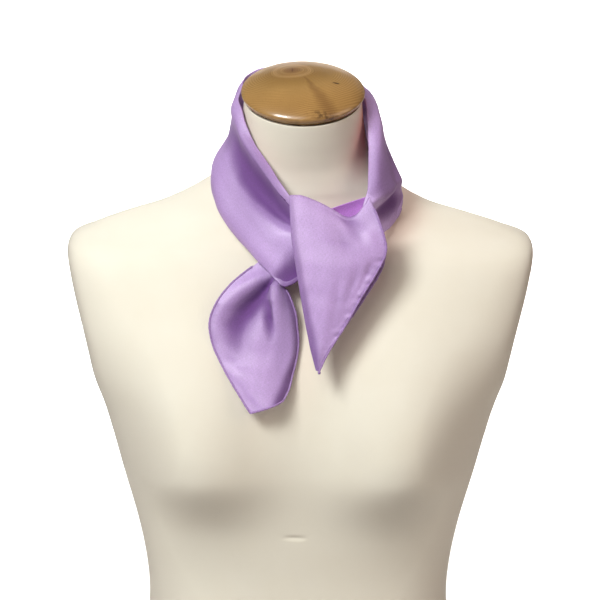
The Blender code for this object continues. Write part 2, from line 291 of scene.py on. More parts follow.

# %% [markdown]
# ## Violet silk satin
# Satin floats its threads over the surface, so light runs off it in broad soft bands. An image
# of cloth could be laid on it, but it would stretch in the folds. So a fairly rough, slightly
# anisotropic gloss gives the bands, and fine threads are noise stretched along and across the
# cloth's own UV map. Shade in the folds and along the turned-away edges is painted shade: a
# value kept in the mesh blends the lit colour towards a darker violet and roughens the gloss.


# %% Silk material
SATIN_IOR, SATIN_ROUGHNESS, FOLD_ROUGHNESS = 1.75, 0.6, 0.95
SATIN_SHEEN = linear(238, 222, 250)
THREAD_SCALES = {"weft": (420.0, 2600.0, 1.0), "warp": (2400.0, 520.0, 1.0),
                 "slub": (14.0, 90.0, 1.0)}     # how often each repeats in a metre of cloth
THREAD_RANGE = (0.8, 1.2)
THREAD_TONES = ((0.0, (0.96, 0.94, 0.97)), (1.0, (1.28, 1.29, 1.27)))
SLUB_TONES = ((0.3, (0.93, 0.92, 0.94)), (0.7, (1.04, 1.04, 1.04)))
THREAD_BUMP = (0.4, 0.00012)


def make_silk(name, lit, painted_shade_colour):
    """Silk satin with a violet body, a broad pale gloss, and painted shade in its folds."""
    silk, tree, shader = new_material(
        name, Roughness=SATIN_ROUGHNESS, IOR=SATIN_IOR, Specular_IOR_Level=1.0, Anisotropic=0.25,
        Sheen_Weight=0.06, Sheen_Roughness=0.4, Sheen_Tint=SATIN_SHEEN)
    cloth_uv = add_node(tree, "ShaderNodeUVMap", uv_map="cloth").outputs["UV"]
    noises = {}
    for thread, scale in THREAD_SCALES.items():
        stretched = add_node(tree, "ShaderNodeMapping", {"Vector": cloth_uv, "Scale": scale})
        noises[thread] = noise(tree, stretched.outputs["Vector"], 1.0, 2.0)
    threads = math_node(tree, "ADD", noises["weft"], noises["warp"])
    fold_shade = attribute(tree, "fold_shade")
    # painted shade: the mesh's value blends the lit colour into the darker colour in folds and edges
    base = blend_colours(tree, fold_shade, lit, painted_shade_colour)
    base = tinted(tree, base, map_range(tree, threads, *THREAD_RANGE), *THREAD_TONES)
    base = tinted(tree, base, noises["slub"], *SLUB_TONES)
    tree.links.new(base, shader.inputs["Base Color"])
    gloss = map_range(tree, fold_shade, 0.0, 1.0, SATIN_ROUGHNESS, FOLD_ROUGHNESS)
    tree.links.new(gloss, shader.inputs["Roughness"])
    add_bump(tree, shader, threads, *THREAD_BUMP)
    print(name, len(tree.nodes), "nodes")
    return silk


# the lit colour, and the darker painted shade colour for folds and turned edges
silk = make_silk("silk", linear(179, 146, 203), linear(84, 14, 113))
# painted light: a brighter copy of the silk, for light shining through the turn behind the knot
silk_painted_glow = make_silk("silk_painted_glow", linear(200, 132, 222), linear(160, 92, 188))

# %% [markdown]
# ## Cotton jersey
# The form's cover is a fine knit, pulled tight. Its loops could be real geometry, but they are
# a millimetre wide and the cover looks smooth from a step away. So two crossed waves draw its
# wales and courses as a faint bump. Two tones are painted from values kept in the mesh: a warm
# glow of painted light where the silk lies close, and painted shade at the sides and under the
# chest.


# %% Jersey material
JERSEY_CREAM = linear(240, 236, 221)
JERSEY_SHADE = linear(236, 230, 212)
# painted light: the warm colour of the glow near the scarf
JERSEY_PAINTED_GLOW = linear(248, 160, 144)
# painted shade: the grey for the sides and the underside of the chest
JERSEY_PAINTED_SHADE = linear(210, 203, 189)
WALE, COURSES_FOR_A_WALE = 0.0011, 1.3
WAVE_RADIANS = 20.0        # a wave texture draws this many radians for each unit of scale
KNIT_BUMP = (0.22, 0.0002)

jersey, tree, shader = new_material("jersey", Roughness=0.85, Specular_IOR_Level=0.25,
                                    Sheen_Weight=0.02, Sheen_Roughness=0.5)
cover_uv = add_node(tree, "ShaderNodeUVMap", uv_map="cloth").outputs["UV"]
knit_scale = math.tau / WALE / WAVE_RADIANS
waves = [add_node(tree, "ShaderNodeTexWave", {"Vector": cover_uv, "Scale": scale, "Distortion": 0.4},
                  bands_direction=direction).outputs["Fac"]
         for direction, scale in (("X", knit_scale), ("Y", COURSES_FOR_A_WALE * knit_scale))]
place = add_node(tree, "ShaderNodeTexCoord").outputs["Object"]
base = blend_colours(tree, noise(tree, place, 26.0, 4.0), JERSEY_CREAM, JERSEY_SHADE)
# painted light: a warm glow blended in near the scarf
base = blend_colours(tree, attribute(tree, "painted_glow"), base, JERSEY_PAINTED_GLOW)
# painted shade: grey blended in at the sides and under the chest
base = blend_colours(tree, attribute(tree, "painted_shade"), base, JERSEY_PAINTED_SHADE)
tree.links.new(base, shader.inputs["Base Color"])
fuzz = noise(tree, place, 900.0, 2.0)
add_bump(tree, shader, math_node(tree, "ADD", math_node(tree, "ADD", *waves), fuzz), *KNIT_BUMP)
print("jersey", len(tree.nodes), "nodes")

# %% [markdown]
# ## Varnished end grain
# The cap is turned from a log's end, so its growth rings circle a pith a little off centre. An
# image of wood would not know where this cap's pith is. Here each point's distance from the
# pith gives its ring, and a Mapping node moves and leans that pattern with the cap.


# %% Growth rings
CAP_CENTRE = (1.3, -16.0, 641.7)
NECK_TILT = 18.0
PITH = (-9.0, 13.0)            # sideways and backwards from the cap's centre, in millimetres
RING_SPACING = 2.1
RINGS_REACH = 0.075
RING_WANDER = 0.009
RING_STRENGTHS = (0.35, 0.65, 0.1, 1.0)
RING_BUMP = (0.08, 0.0002)
# growth-ring tones, darkest at the pith: partly the wood's own tone, partly painted shade on the top
GROWTH_AND_SHADE_TONES = ((0.0, 132, 94, 54), (0.022, 148, 112, 66), (0.036, 166, 130, 80),
                (0.055, 154, 118, 70), (0.10, 176, 140, 90), (0.15, 150, 115, 64),
                (0.28, 156, 121, 68), (0.5, 168, 132, 78), (0.72, 170, 132, 78),
                (1.0, 162, 124, 72))
RING_TONES = ((0.0, (0.85, 0.83, 0.78)), (1.0, (1.18, 1.20, 1.24)))
CLOUD_TONES = ((0.3, (0.90, 0.88, 0.85)), (0.7, (1.05, 1.04, 1.0)))
PORE_TONES = ((0.30, (0.86, 0.84, 0.80)), (0.45, (1.0, 1.0, 1.0)))

wood, tree, shader = new_material("wood", Roughness=0.42, Specular_IOR_Level=0.3,
                                  Coat_Roughness=0.17)


def vector_math(operation, *values):
    return add_node(tree, "ShaderNodeVectorMath", dict(enumerate(values)), operation=operation)


def distance_to(spot, scale):
    """Distance from a spot on the cap, which a scale other than 1 squeezes into an oval."""
    moved = vector_math("ADD", level, (-spot[0] * MM, -spot[1] * MM, 0.0)).outputs["Vector"]
    scaled = vector_math("MULTIPLY", moved, scale).outputs["Vector"]
    return vector_math("LENGTH", scaled).outputs["Value"]


def eased(value, low, high, to_low=0.0, to_high=1.0):
    return map_range(tree, value, low, high, to_low, to_high, "SMOOTHSTEP")


def around_zero(value, size):
    """Noise about 0, from half the size below it to half the size above."""
    return math_node(tree, "MULTIPLY", math_node(tree, "SUBTRACT", value, 0.5), size)


place = add_node(tree, "ShaderNodeTexCoord").outputs["Object"]
centred = vector_math("ADD", place, tuple(-c * MM for c in CAP_CENTRE)).outputs["Vector"]
level = add_node(tree, "ShaderNodeMapping",
                 {"Vector": centred,
                  "Rotation": (math.radians(-NECK_TILT), 0.0, 0.0)}).outputs["Vector"]
growth = math_node(tree, "ADD", distance_to(PITH, (1.0, 1.15, 0.0)),
                   around_zero(noise(tree, level, 22.0, 2.0), RING_WANDER))
ring = math_node(tree, "SINE",
                 math_node(tree, "MULTIPLY", growth, math.tau / (RING_SPACING * MM)))
ring_strength = eased(noise(tree, level, 60.0, 3.0), *RING_STRENGTHS)
ring_tone = math_node(tree, "MULTIPLY", math_node(tree, "MULTIPLY", ring, ring_strength), 0.5)
# the growth tones, with painted shade in the middle of the cap's top, which takes more light
base = ramp(tree, eased(growth, 0.0, RINGS_REACH),
            *((stop, linear(*colour)) for stop, *colour in GROWTH_AND_SHADE_TONES))
base = tinted(tree, base, math_node(tree, "ADD", ring_tone, 0.5), *RING_TONES)
base = tinted(tree, base, noise(tree, level, 38.0, 5.0), *CLOUD_TONES, share=0.9)
base = tinted(tree, base, noise(tree, level, 900.0, 2.0), *PORE_TONES, share=0.7)
add_bump(tree, shader, ring_tone, *RING_BUMP)
print("rings across the cap", round(1000 * RINGS_REACH / RING_SPACING))

# %% [markdown]
# ## Marks in the wood, and its varnish
# A dark ray runs from near the pith towards the front edge and widens on its way. A drying
# crack at the pith, a stain and a pin knot are ovals, each dark within one distance and gone at
# another. They could be painted on, but as nodes they stay sharp at any size. The varnish is a
# coat, thick where it is looked at squarely and thin towards the rim.

# %% Marks and varnish
RAY_FROM, RAY_TO = (-1.0, 2.0), (18.0, -34.0)
RAY_WIDTHS, RAY_WANDER = (0.0012, 0.0075), 0.007
RAY_STRENGTH, RAY_EDGE, RAY_START = 0.5, 1.3, 0.008
RAY_TONE = linear(112, 76, 42)
MARKS = {      # place, oval, dark within, gone at, strength, tone
    "crack": (PITH, (2.4, 0.45, 0.0), 0.0006, 0.0026, 0.85, linear(96, 60, 34)),
    "stain": ((20.0, -47.0), (0.45, 1.6, 0.0), 0.002, 0.009, 0.8, linear(88, 62, 36)),
    "knot": ((27.5, -6.5), (0.45, 1.3, 0.0), 0.0008, 0.0018, 1.0, linear(62, 38, 22)),
}
COAT_FACING, COAT_WEIGHTS = (0.55, 0.9), (1.0, 0.05)

ray = np.array(RAY_TO) - np.array(RAY_FROM)
in_ray = vector_math("ADD", level, (-RAY_FROM[0] * MM, -RAY_FROM[1] * MM, 0.0)).outputs["Vector"]
in_ray = add_node(tree, "ShaderNodeVectorRotate",
                  {"Vector": in_ray, "Angle": -math.atan2(ray[1], ray[0])},
                  rotation_type="Z_AXIS").outputs["Vector"]
split = add_node(tree, "ShaderNodeSeparateXYZ", {"Vector": in_ray})
wander = around_zero(noise(tree, level, 70.0, 3.0), RAY_WANDER)
off_ray = math_node(tree, "ABSOLUTE", math_node(tree, "ADD", split.outputs["Y"], wander))
ray_width = eased(split.outputs["X"], 0.0, np.linalg.norm(ray) * MM, *RAY_WIDTHS)
across_ray = math_node(tree, "DIVIDE", off_ray, ray_width)
streak = math_node(tree, "MULTIPLY", eased(across_ray, 0.0, RAY_EDGE, RAY_STRENGTH, 0.0),
                   eased(split.outputs["X"], 0.0, RAY_START))
base = blend_colours(tree, streak, base, RAY_TONE)
for name, (spot, oval, dark, gone, strength, tone) in MARKS.items():
    mark = eased(distance_to(spot, oval), dark, gone, strength, 0.0)
    if name == "stain":
        mark = math_node(tree, "MULTIPLY", mark, eased(noise(tree, level, 260.0, 3.0), 0.42, 0.6))
    base = blend_colours(tree, mark, base, tone)
tree.links.new(base, shader.inputs["Base Color"])
facing = add_node(tree, "ShaderNodeLayerWeight", {"Blend": 0.5}).outputs["Facing"]
tree.links.new(eased(facing, *COAT_FACING, *COAT_WEIGHTS), shader.inputs["Coat Weight"])
print("wood", len(tree.nodes), "nodes, with a ray", round(np.linalg.norm(ray)), "mm long")

# %% [markdown]
# ## The dress form's cover
# Moulded forms have an oval waist, a soft chest and flat plates with round edges where arms
# would be. One could be sculpted, but sections at known heights keep its sizes true. Each row
# is a superellipse, whose one power turns an ellipse into a rounder box.

# %% Form table
FormRow = namedtuple("FormRow", "up half_wide front back square plate tilt shift")
FORM_TABLE = [
    (0, 162, -97, 103, 2.25, 0, 0, 0),
    (3, 165, -100, 106, 2.25, 0, 0, 0),
    (40, 164, -100, 107, 2.30, 0, 0, 0),
    (80, 157, -98, 103, 2.35, 0, 0, 0),
    (120, 147, -93, 93, 2.35, 0, 0, 0),
    (155, 137, -87, 81, 2.35, 0, 0, 0),
    (190, 132, -84, 74, 2.35, 0, 0, 0),
    (225, 134, -86, 74, 2.35, 0, 0, 0),
    (265, 141, -91, 79, 2.50, 0, 0, 0),
    (310, 152.5, -95, 87, 2.60, 0, 0, 0),
    (350, 162, -98.5, 93, 2.90, 0, 0, 0),
    (380, 170, -99, 97, 3.20, 0.1, 0, 0),
    (410, 179.5, -97, 100, 3.50, 0.8, 0, 0),
    (440, 187.5, -92, 101, 3.80, 1, 0, 0),
    (470, 194.5, -83, 99, 3.90, 1, 0, 0),
    (492, 198.5, -75, 95, 3.80, 1, 0, 0),
    (504, 198.5, -70, 92, 3.40, 0.8, 0, 0),
    (512, 195, -66, 89, 2.80, 0.3, 0, 0),
    (519, 184, -63, 86, 2.05, 0, 0, -0.5),
    (526, 168, -60, 82, 1.70, 0, 0, -1.5),
    (534, 145, -58, 78, 1.55, 0, 0, -3),
    (542, 119, -56, 73, 1.55, 0, 0, -3.5),
    (550, 101, -55, 68, 1.62, 0, 1, -3),
    (558, 86.5, -54, 64, 1.75, 0, 2, -2),
    (566, 74.5, -54, 60, 1.88, 0, 4, -1),
    (576, 64.5, -54, 57, 1.97, 0, 6, 0),
    (590, 57, -55, 54, 2.00, 0, 9, 0.5),
    (606, 53, -58, 49, 2.00, 0, 14, 1),
    (621, 50.6, -61.8, 42.8, 2.00, 0, 18, 1.3),
    (635, 49.2, -65.3, 37.3, 2.00, 0, 18, 1.3),
    (635.2, 48.6, -64.7, 36.7, 2.00, 0, 18, 1.3),
]
print("the form is", FORM_TABLE[-1][0], "mm high")

# %% [markdown]
# ## Chest, plates and one wrinkle
# A few soft shapes are laid over the sections. The chest is two smooth hills pushed forward,
# the plates are cut with a rounded minimum, and a short curved crease shows where the tight
# cover pulls under the chest.

# %% Form shaping
CHEST_AT = (94.0, 332.0)
CHEST_FULLNESS = 35.0
CHEST_SPREAD = (60.0, 105.0, 43.0)      # sideways, up and down
WRINKLE_AT, WRINKLE_BEND, WRINKLE_DEPTH, WRINKLE_SPREAD = (-3.0, 273.0), 0.028, 1.0, (9.0, 2.0)
PLATE_SWELL, PLATE_CROWN, PLATE_HALF_DEPTH, EDGE_SOFTNESS = 0.035, 4.0, 46.0, 5.0
FORM_AROUND = 240


def soft_minimum(a, b, softness):
    """The smaller of two values, rounded where they meet."""
    mix = np.clip(0.5 + 0.5 * (b - a) / softness, 0.0, 1.0)
    return b * (1 - mix) + a * mix - softness * mix * (1 - mix)


def chest_push(x, up):
    """How far the chest's soft fullness moves the front of the form forward."""
    side, spread_up, spread_down = CHEST_SPREAD
    spread = np.where(up > CHEST_AT[1], spread_up, spread_down)
    height = np.exp(-((up - CHEST_AT[1]) / spread) ** 2)
    width = (np.exp(-((x - CHEST_AT[0]) / side) ** 2)
             + np.exp(-((x + CHEST_AT[0]) / side) ** 2))
    return CHEST_FULLNESS * height * width


def wrinkle(x, up):
    """A short curved crease where the tight cover pulls between the chest and the waist."""
    off_x = x - WRINKLE_AT[0]
    off_up = up - WRINKLE_AT[1] - WRINKLE_BEND * off_x ** 2
    spread_x, spread_up = WRINKLE_SPREAD
    return WRINKLE_DEPTH * np.exp(-(off_x / spread_x) ** 4 - (off_up / spread_up) ** 2)


def form_section(row):
    """One outline of the form, with its plates cut and its neck tilted."""
    turn = np.linspace(0.0, 2 * math.pi, FORM_AROUND, endpoint=False)
    cosine, sine = np.cos(turn), np.sin(turn)
    middle = 0.5 * (row.front + row.back)
    half_deep = 0.5 * (row.back - row.front)
    fill = 1 + PLATE_SWELL * row.plate
    x = row.half_wide * fill * np.sign(cosine) * np.abs(cosine) ** (2 / row.square)
    y = half_deep * np.sign(sine) * np.abs(sine) ** (2 / row.square)
    plate = row.half_wide - PLATE_CROWN * (y / PLATE_HALF_DEPTH) ** 2
    cut = np.sign(x) * soft_minimum(np.abs(x), plate, EDGE_SOFTNESS)
    x = np.where(row.plate > 0, x + (cut - x) * row.plate, x)
    tilt = math.radians(row.tilt)
    front_share = np.clip(-y / half_deep, 0.0, 1.0)
    up = row.up + y * math.sin(tilt)
    y = middle + y * math.cos(tilt) - front_share * (chest_push(x, up) - wrinkle(x, up))
    return np.stack([x + row.shift, y, up], axis=1)


def evened(section):
    """The same outline with its points spread evenly, so no faces bunch at its corners."""
    closed = np.concatenate([section, section[:1]])
    steps = np.concatenate([[0], np.cumsum(np.linalg.norm(np.diff(closed, axis=0), axis=1))])
    even = np.linspace(0, steps[-1], FORM_AROUND, endpoint=False)
    return np.stack([np.interp(even, steps, closed[:, k]) for k in range(3)], axis=1)


print("the shoulders are", 2 * max(row[1] for row in FORM_TABLE), "mm wide")

# %% Form cover
FORM_LEVELS, WRINKLE_LEVELS = 240, (8.05, 8.45, 22)     # more rows where the wrinkle is

levels = np.sort(np.concatenate([np.linspace(0, len(FORM_TABLE) - 1, FORM_LEVELS),
                                 np.linspace(*WRINKLE_LEVELS)]))
form_grid = np.array([evened(form_section(FormRow(*row)))
                      for row in catmull_rom(FORM_TABLE, levels)])
faces = grid_faces(len(levels), FORM_AROUND, wrap=True)
top_start = (len(levels) - 1) * FORM_AROUND
faces.append(tuple(reversed(range(FORM_AROUND))))
faces.append(tuple(range(top_start, top_start + FORM_AROUND)))
around = walk(form_grid, 1)
up_walk = walk(form_grid, 0).mean(axis=1, keepdims=True) + 0 * around
form_cover = mesh_piece("form_cover", form_grid.reshape(-1, 3), faces, jersey,
                        np.stack([around, up_walk], axis=-1).reshape(-1, 2))
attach(form_cover, "root")
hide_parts("form_body")
print("form cover", len(form_cover.data.polygons), "faces")

# %% [markdown]
# ## Painted light and shade kept in the cover
# Light that has come through the silk or off it warms the cover beside it, and less light
# reaches the sides and the underside of the chest. Both are painted into the cover's colour: a
# warm glow near the scarf, strongest on the right and at the neck, and a grey shade. They could
# be painted by hand, but here each point of the cover measures its distance to the scarf's
# solids and which way it faces.

# %% Blush and grey
# painted light: a warm glow near the scarf, moved right, back and down with the shadows
PAINTED_GLOW_REACH, PAINTED_GLOW_SHIFT = 17.0, (0.004, 0.004, -0.003)
PAINTED_GLOW_SIDE = (0.25, 0.014)     # its strength in the middle, and what each millimetre sideways adds
PAINTED_GLOW_UP, PAINTED_GLOW_LEAST = (565.0, 590.0), (0.1, 0.2)      # it is weak on the left and below the neck
# painted shade: grey on the sides up to the shoulders and on whatever faces down
PAINTED_SHADE_SIDE, PAINTED_SHADE_UNDER = (0.3, 0.9), (0.0, 0.65)
PAINTED_SHADE_UP = (530.0, 560.0)       # the sides are grey up to the shoulders

cover = form_cover.data
scarf_points = [vertex.co + Vector(PAINTED_GLOW_SHIFT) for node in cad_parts
                if node.startswith("scarf_") for vertex in bpy.data.objects[node].data.vertices]
scarf_tree = KDTree(len(scarf_points))
for point in scarf_points:
    scarf_tree.insert(point, 0)
scarf_tree.balance()
gap = np.array([scarf_tree.find(vertex.co)[2] for vertex in cover.vertices]) / MM
sideways, _, height = np.array([vertex.co for vertex in cover.vertices]).T / MM
normals = np.array([vertex.normal for vertex in cover.vertices])
# painted light: the warm glow, by distance to the scarf, sideways place and height
painted_glow = np.exp(-(gap / PAINTED_GLOW_REACH) ** 2)
painted_glow *= np.clip(PAINTED_GLOW_SIDE[0] + PAINTED_GLOW_SIDE[1] * sideways, PAINTED_GLOW_LEAST[0], 1.0)
painted_glow *= np.interp(height, PAINTED_GLOW_UP, (PAINTED_GLOW_LEAST[1], 1.0))
# painted shade: grey by how far the point faces sideways or down
painted_shade = np.interp(np.abs(normals[:, 0]), PAINTED_SHADE_SIDE, (0.0, 1.0))
painted_shade *= np.interp(height, PAINTED_SHADE_UP, (1.0, 0.0))
painted_shade = np.maximum(painted_shade, np.interp(-normals[:, 2], PAINTED_SHADE_UNDER, (0.0, 1.0)))
cover.attributes.new("painted_glow", "FLOAT", "POINT").data.foreach_set("value", painted_glow)
cover.attributes.new("painted_shade", "FLOAT", "POINT").data.foreach_set("value", painted_shade)
print("strongest blush", painted_glow.max().round(2), "and mean grey", painted_shade.mean().round(2))

# %% [markdown]
# ## The turned cap
# A lathe makes anything round: a half outline is turned about the middle line, as a Spin or
# Screw would do too. The outline is a low dome with a full shoulder and a rim that rolls in
# under it to the neck, and it is turned by hand here so that it can lean with the neck.

# %% Neck cap
CAP_RADIUS = 51.7
CAP_DOME = 14.2
CAP_DOME_POWER = 0.66
CAP_RIM = ((-0.3, -1.8), (-1.6, -3.8), (-4.5, -6.6))
CAP_AROUND, DOME_POINTS, RIM_POINTS = 144, 40, 16

outline = []
for i in range(DOME_POINTS):
    out = math.sin(0.5 * math.pi * i / (DOME_POINTS - 1))
    outline.append((CAP_RADIUS * out, CAP_DOME * max(0.0, 1.0 - out ** 2) ** CAP_DOME_POWER))
rim = [(CAP_RADIUS, 0.0)] + [(CAP_RADIUS + out, up) for out, up in CAP_RIM]
outline += [tuple(p) for p in catmull_rom(rim, np.linspace(0, len(CAP_RIM), RIM_POINTS)[1:])]
turn = np.linspace(0, 2 * math.pi, CAP_AROUND, endpoint=False)
lean = math.radians(NECK_TILT)
points = []
for out, up in outline[1:]:
    x, y = out * np.cos(turn), out * np.sin(turn)
    points.append(np.stack([x, y * math.cos(lean) - up * math.sin(lean),
                            y * math.sin(lean) + up * math.cos(lean)], axis=1))
apex = np.array([0.0, -CAP_DOME * math.sin(lean), CAP_DOME * math.cos(lean)])
rows = len(points)
points = np.concatenate(points[::-1] + [apex[None]]) + np.array(CAP_CENTRE)
faces = grid_faces(rows, CAP_AROUND, wrap=True)
last_row = (rows - 1) * CAP_AROUND
faces += [(last_row + j, last_row + (j + 1) % CAP_AROUND, rows * CAP_AROUND)
          for j in range(CAP_AROUND)]
faces.append(tuple(reversed(range(CAP_AROUND))))
turned_cap = mesh_piece("turned_cap", points, faces, wood)
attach(turned_cap, "root")
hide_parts("neck_cap")
print("cap", len(turned_cap.data.polygons), "faces")

# %% [markdown]
# ## The band round the neck
# The square is folded on its diagonal to a band, and the band's outer layer is what shows. It
# is one sheet: sections across it run from the gather under the knot, round the neck to the
# end behind the front tail. Four folds cross each section, each with its place as a share of
# the width and how far it stands out, so a ridge or a valley can wander as it runs along.

# %% Band sections
LoopRow = namedtuple("LoopRow", "top_x top_y top_z low_x low_y low_z lip "
                     "at_1 out_1 at_2 out_2 at_3 out_3 at_4 out_4")
LOOP_TABLE = [
    (-29, -75, 514, -14, -81, 499, 0.5, .15, 1, .38, 1, .60, 1, .84, 1),
    (-5, -76, 527, -1, -79, 504, 0.5, .15, 1, .38, 1, .60, 1, .84, 1),
    (22, -77, 533, 25, -77, 510, 0.5, .15, 1, .38, 1, .60, 1, .84, 1),
    (45, -77, 546, 49, -73, 518, 1, .12, 1, .30, 2, .56, 1, .84, 0),
    (54, -72, 564, 69.5, -58, 531, 3, .10, 2, .30, 3, .58, -4, .88, -1.5),
    (57, -62, 575, 79, -46, 536, 4, .10, 5, .40, 4, .63, -4, .88, -1),
    (57.5, -47, 592, 85.5, -33.5, 545, 4, .10, 6, .48, 5, .72, -3, .90, -1),
    (57.5, -28, 614, 87.5, -21, 553.5, 4, .12, 6, .38, 4, .64, 4, .88, -1),
    (55.5, -5, 633, 84, -2, 562, 3, .14, 6, .38, 3, .66, 0, .88, 1),
    (51, 22, 643, 77, 34, 566, 5, .15, 5, .38, 1, .62, 0, .86, 2),
    (36, 42, 647, 54, 63, 571, 6, .15, 4, .38, -1, .60, 2, .84, 4),
    (2, 52, 652, 2, 74, 574, 6, .15, 4, .38, -2, .60, 2, .84, 4),
    (-33, 47, 652.5, -51, 66, 571, 6, .15, 2.5, .38, -1, .62, 0, .84, 2),
    (-48.5, 34, 646.5, -69.5, 43, 569, 3, .15, 2, .40, 0, .66, -0.5, .84, 1),
    (-51.5, 14, 638, -74.5, 18, 571, 1, .14, 3, .40, 0, .62, -0.5, .84, 1),
    (-53.5, -6, 633, -75.5, -6, 568, 0.5, .13, 3.5, .36, -1, .60, 0, .86, 1.5),
    (-50.5, -23.5, 627, -74, -27.5, 557, 0.3, .12, 4, .34, -2.5, .60, -0.5, .86, 2),
    (-46.5, -37, 616, -67, -45, 543, 0.5, .11, 4.5, .34, -4, .62, 0, .88, 2.5),
    (-39.5, -46.5, 603, -57, -59, 530.5, 1.5, .10, 4.5, .35, -5, .60, 1, .88, 3),
    (-29, -57, 589, -45, -72, 519.5, 3, .10, 5, .34, -6, .56, 2, .88, 3.5),
    (-19, -69, 576, -28.8, -88, 507, 2, .10, 4.5, .32, -6, .50, 2.5, .84, 3),
    (-9, -79, 565, -13, -97, 495, 1, .10, 4, .27, -5, .42, 3, .78, 2),
    (4, -83, 554, 3, -98, 503, 1, .10, 2, .27, -2, .45, 3, .80, 1),
    (20, -85, 545, 20, -95, 510, 1, .15, 0, .38, 0, .60, 1, .84, 0),
]
BAND_ROWS, BAND_ACROSS = 330, 84
LIP_LEAN = 0.35                # how far the fold's own edge lies behind, as a share of its lip
TURN_IN_LIP, TURN_IN_WIDTH = (0.5, 3.0), (0.12, 2.0)     # how far a lip turns in, at most
AHEAD = 0.05


def band_section(row, out):
    """One section across the band: round the top fold, down over its folds, and under."""
    top = np.array([row.top_x, row.top_y, row.top_z])
    low = np.array([row.low_x, row.low_y, row.low_z])
    width = np.linalg.norm(low - top)
    down = (low - top) / width
    turn_in = min(TURN_IN_LIP[0] * row.lip + TURN_IN_LIP[1],
                  TURN_IN_WIDTH[0] * width + TURN_IN_WIDTH[1])
    first_fold = LoopRow._fields.index("at_1")
    folds = zip(row[first_fold::2], row[first_fold + 1::2])
    shape = [(turn_in, -row.lip), (0.0, -LIP_LEAN * row.lip),
             *((place * width, stands_out) for place, stands_out in folds),
             (width, -LIP_LEAN * row.lip), (width - turn_in, -row.lip)]
    curve = catmull_rom(shape, np.linspace(0, len(shape) - 1, BAND_ACROSS))
    return top + curve[:, :1] * down + curve[:, 1:] * out


band_levels = np.linspace(0, len(LOOP_TABLE) - 1, BAND_ROWS)
rows = catmull_rom(LOOP_TABLE, band_levels)
ahead = catmull_rom(LOOP_TABLE, band_levels + AHEAD)
behind = catmull_rom(LOOP_TABLE, band_levels - AHEAD)
along = unit(ahead[:, 0:3] + ahead[:, 3:6] - behind[:, 0:3] - behind[:, 3:6])
down = unit(rows[:, 3:6] - rows[:, 0:3])
out = unit(np.cross(down, along))
band = np.array([band_section(LoopRow(*row), side) for row, side in zip(rows, out)])
print("band", round(walk(band, 0)[-1].mean()), "mm long and",
      round(walk(band, 1)[BAND_ROWS // 2, -1]), "mm across")

# %% [markdown]
# ## Creases
# Folded silk has a few sharp lines besides its soft folds. They could come from a cloth
# simulation, but then nobody could say where each one lies. A crease here is a line over the
# sheet. Each of its points has a row, a share of the width, a height and a spread, the last two
# in millimetres, and the sheet is pushed along its own normals beside that line. The same kind
# of line says where shade is painted into the satin's colour. A fine ripple of a few tenths
# of a millimetre keeps the rest from looking like a tube of plastic.

# %% Crease helpers
Crease = namedtuple("Crease", "line sharp gentle", defaults=(False, 1.0))
RIPPLES = ((0.21, 0.05, 0.0), (0.09, 0.17, 1.3), (-0.13, 0.11, 4.1), (0.31, -0.07, 2.2))
RIPPLE_HEIGHT = 0.35


def crease_field(grid, levels, shares, crease):
    """How strong a crease is at each point of a sheet, for a line that wanders across it.

    Past the line it may fall away more gently, by as many times as its last value says.
    """
    at, share, height, spread = np.array(crease.line).T
    share = np.interp(levels, at, share)[:, None]
    height = np.interp(levels, at, height, left=0.0, right=0.0)[:, None]
    spread = np.interp(levels, at, spread)[:, None]
    width = np.linalg.norm(grid[:, -1] - grid[:, 0], axis=-1)[:, None]
    away = (shares[None, :] - share) * width / spread
    away = np.where(away > 0, away / crease.gentle, -away)
    return height * (1 / np.cosh(2 * away) if crease.sharp else np.exp(-away ** 2))


def creased(grid, levels, shares, creases):
    """The sheet with its creases pressed in one after another, and its ripple."""
    for crease in creases:
        field = crease_field(grid, levels, shares, crease)
        grid = grid + field[..., None] * surface_normals(grid)
    along, across = walk(grid, 0), walk(grid, 1)
    wave = sum(np.sin(a * along + b * across + start) for a, b, start in RIPPLES)
    return grid + (RIPPLE_HEIGHT * wave / len(RIPPLES))[..., None] * surface_normals(grid)


def painted_fold_shade(grid, levels, shares, lines):
    """Painted shade for the satin's colour, in its hollows and along its turned edges."""
    return sum(crease_field(grid, levels, shares, Crease(line)) for line in lines)


print("ripple", RIPPLE_HEIGHT, "mm")

# %% Creases of the band
band_shares = np.linspace(0, 1, BAND_ACROSS)
RIGHT_RIDGE = [(3.5, .17, 0, 2), (4, .33, 2.2, 2.5), (5, .40, 3.2, 3.5), (6, .48, 3.8, 4),
               (6.5, .56, 3.8, 4.5), (7, .65, 3.5, 5), (7.5, .71, 3.2, 5), (8, .77, 1.5, 5),
               (8.6, .84, 0, 5)]
RIGHT_POCKET = [(3.6, .5, 0, 6), (4.5, .58, -1, 7), (5.6, .66, -1.5, 8), (6.6, .80, -1, 7),
                (7.4, .90, 0, 6)]
LEFT_VALLEY = [(12.4, .76, 0, 6), (13.2, .62, -1.5, 6), (14.2, .48, -1.5, 8), (16, .38, -1, 10),
               (18, .37, -2, 12), (19.5, .34, -2.5, 10), (21, .28, -3, 7), (22.5, .27, 0, 5)]
LEFT_BULGE = [(13, .95, 0, 8), (14.2, .82, 1, 9), (15.5, .78, 1, 11), (17, .78, .5, 12),
              (18, .78, 0, 12)]
LEFT_TURN_UP = [(20.3, .84, 0, 3), (20.8, .79, -1.2, 4), (21.2, .77, -2.2, 4.5),
                (21.8, .75, -2.6, 5), (23, .75, -1, 5)]
LEFT_NOTCH = [(13.6, .50, 0, 5), (14.3, .53, -2.5, 5), (15, .53, -1.5, 6), (15.8, .52, 0, 6)]
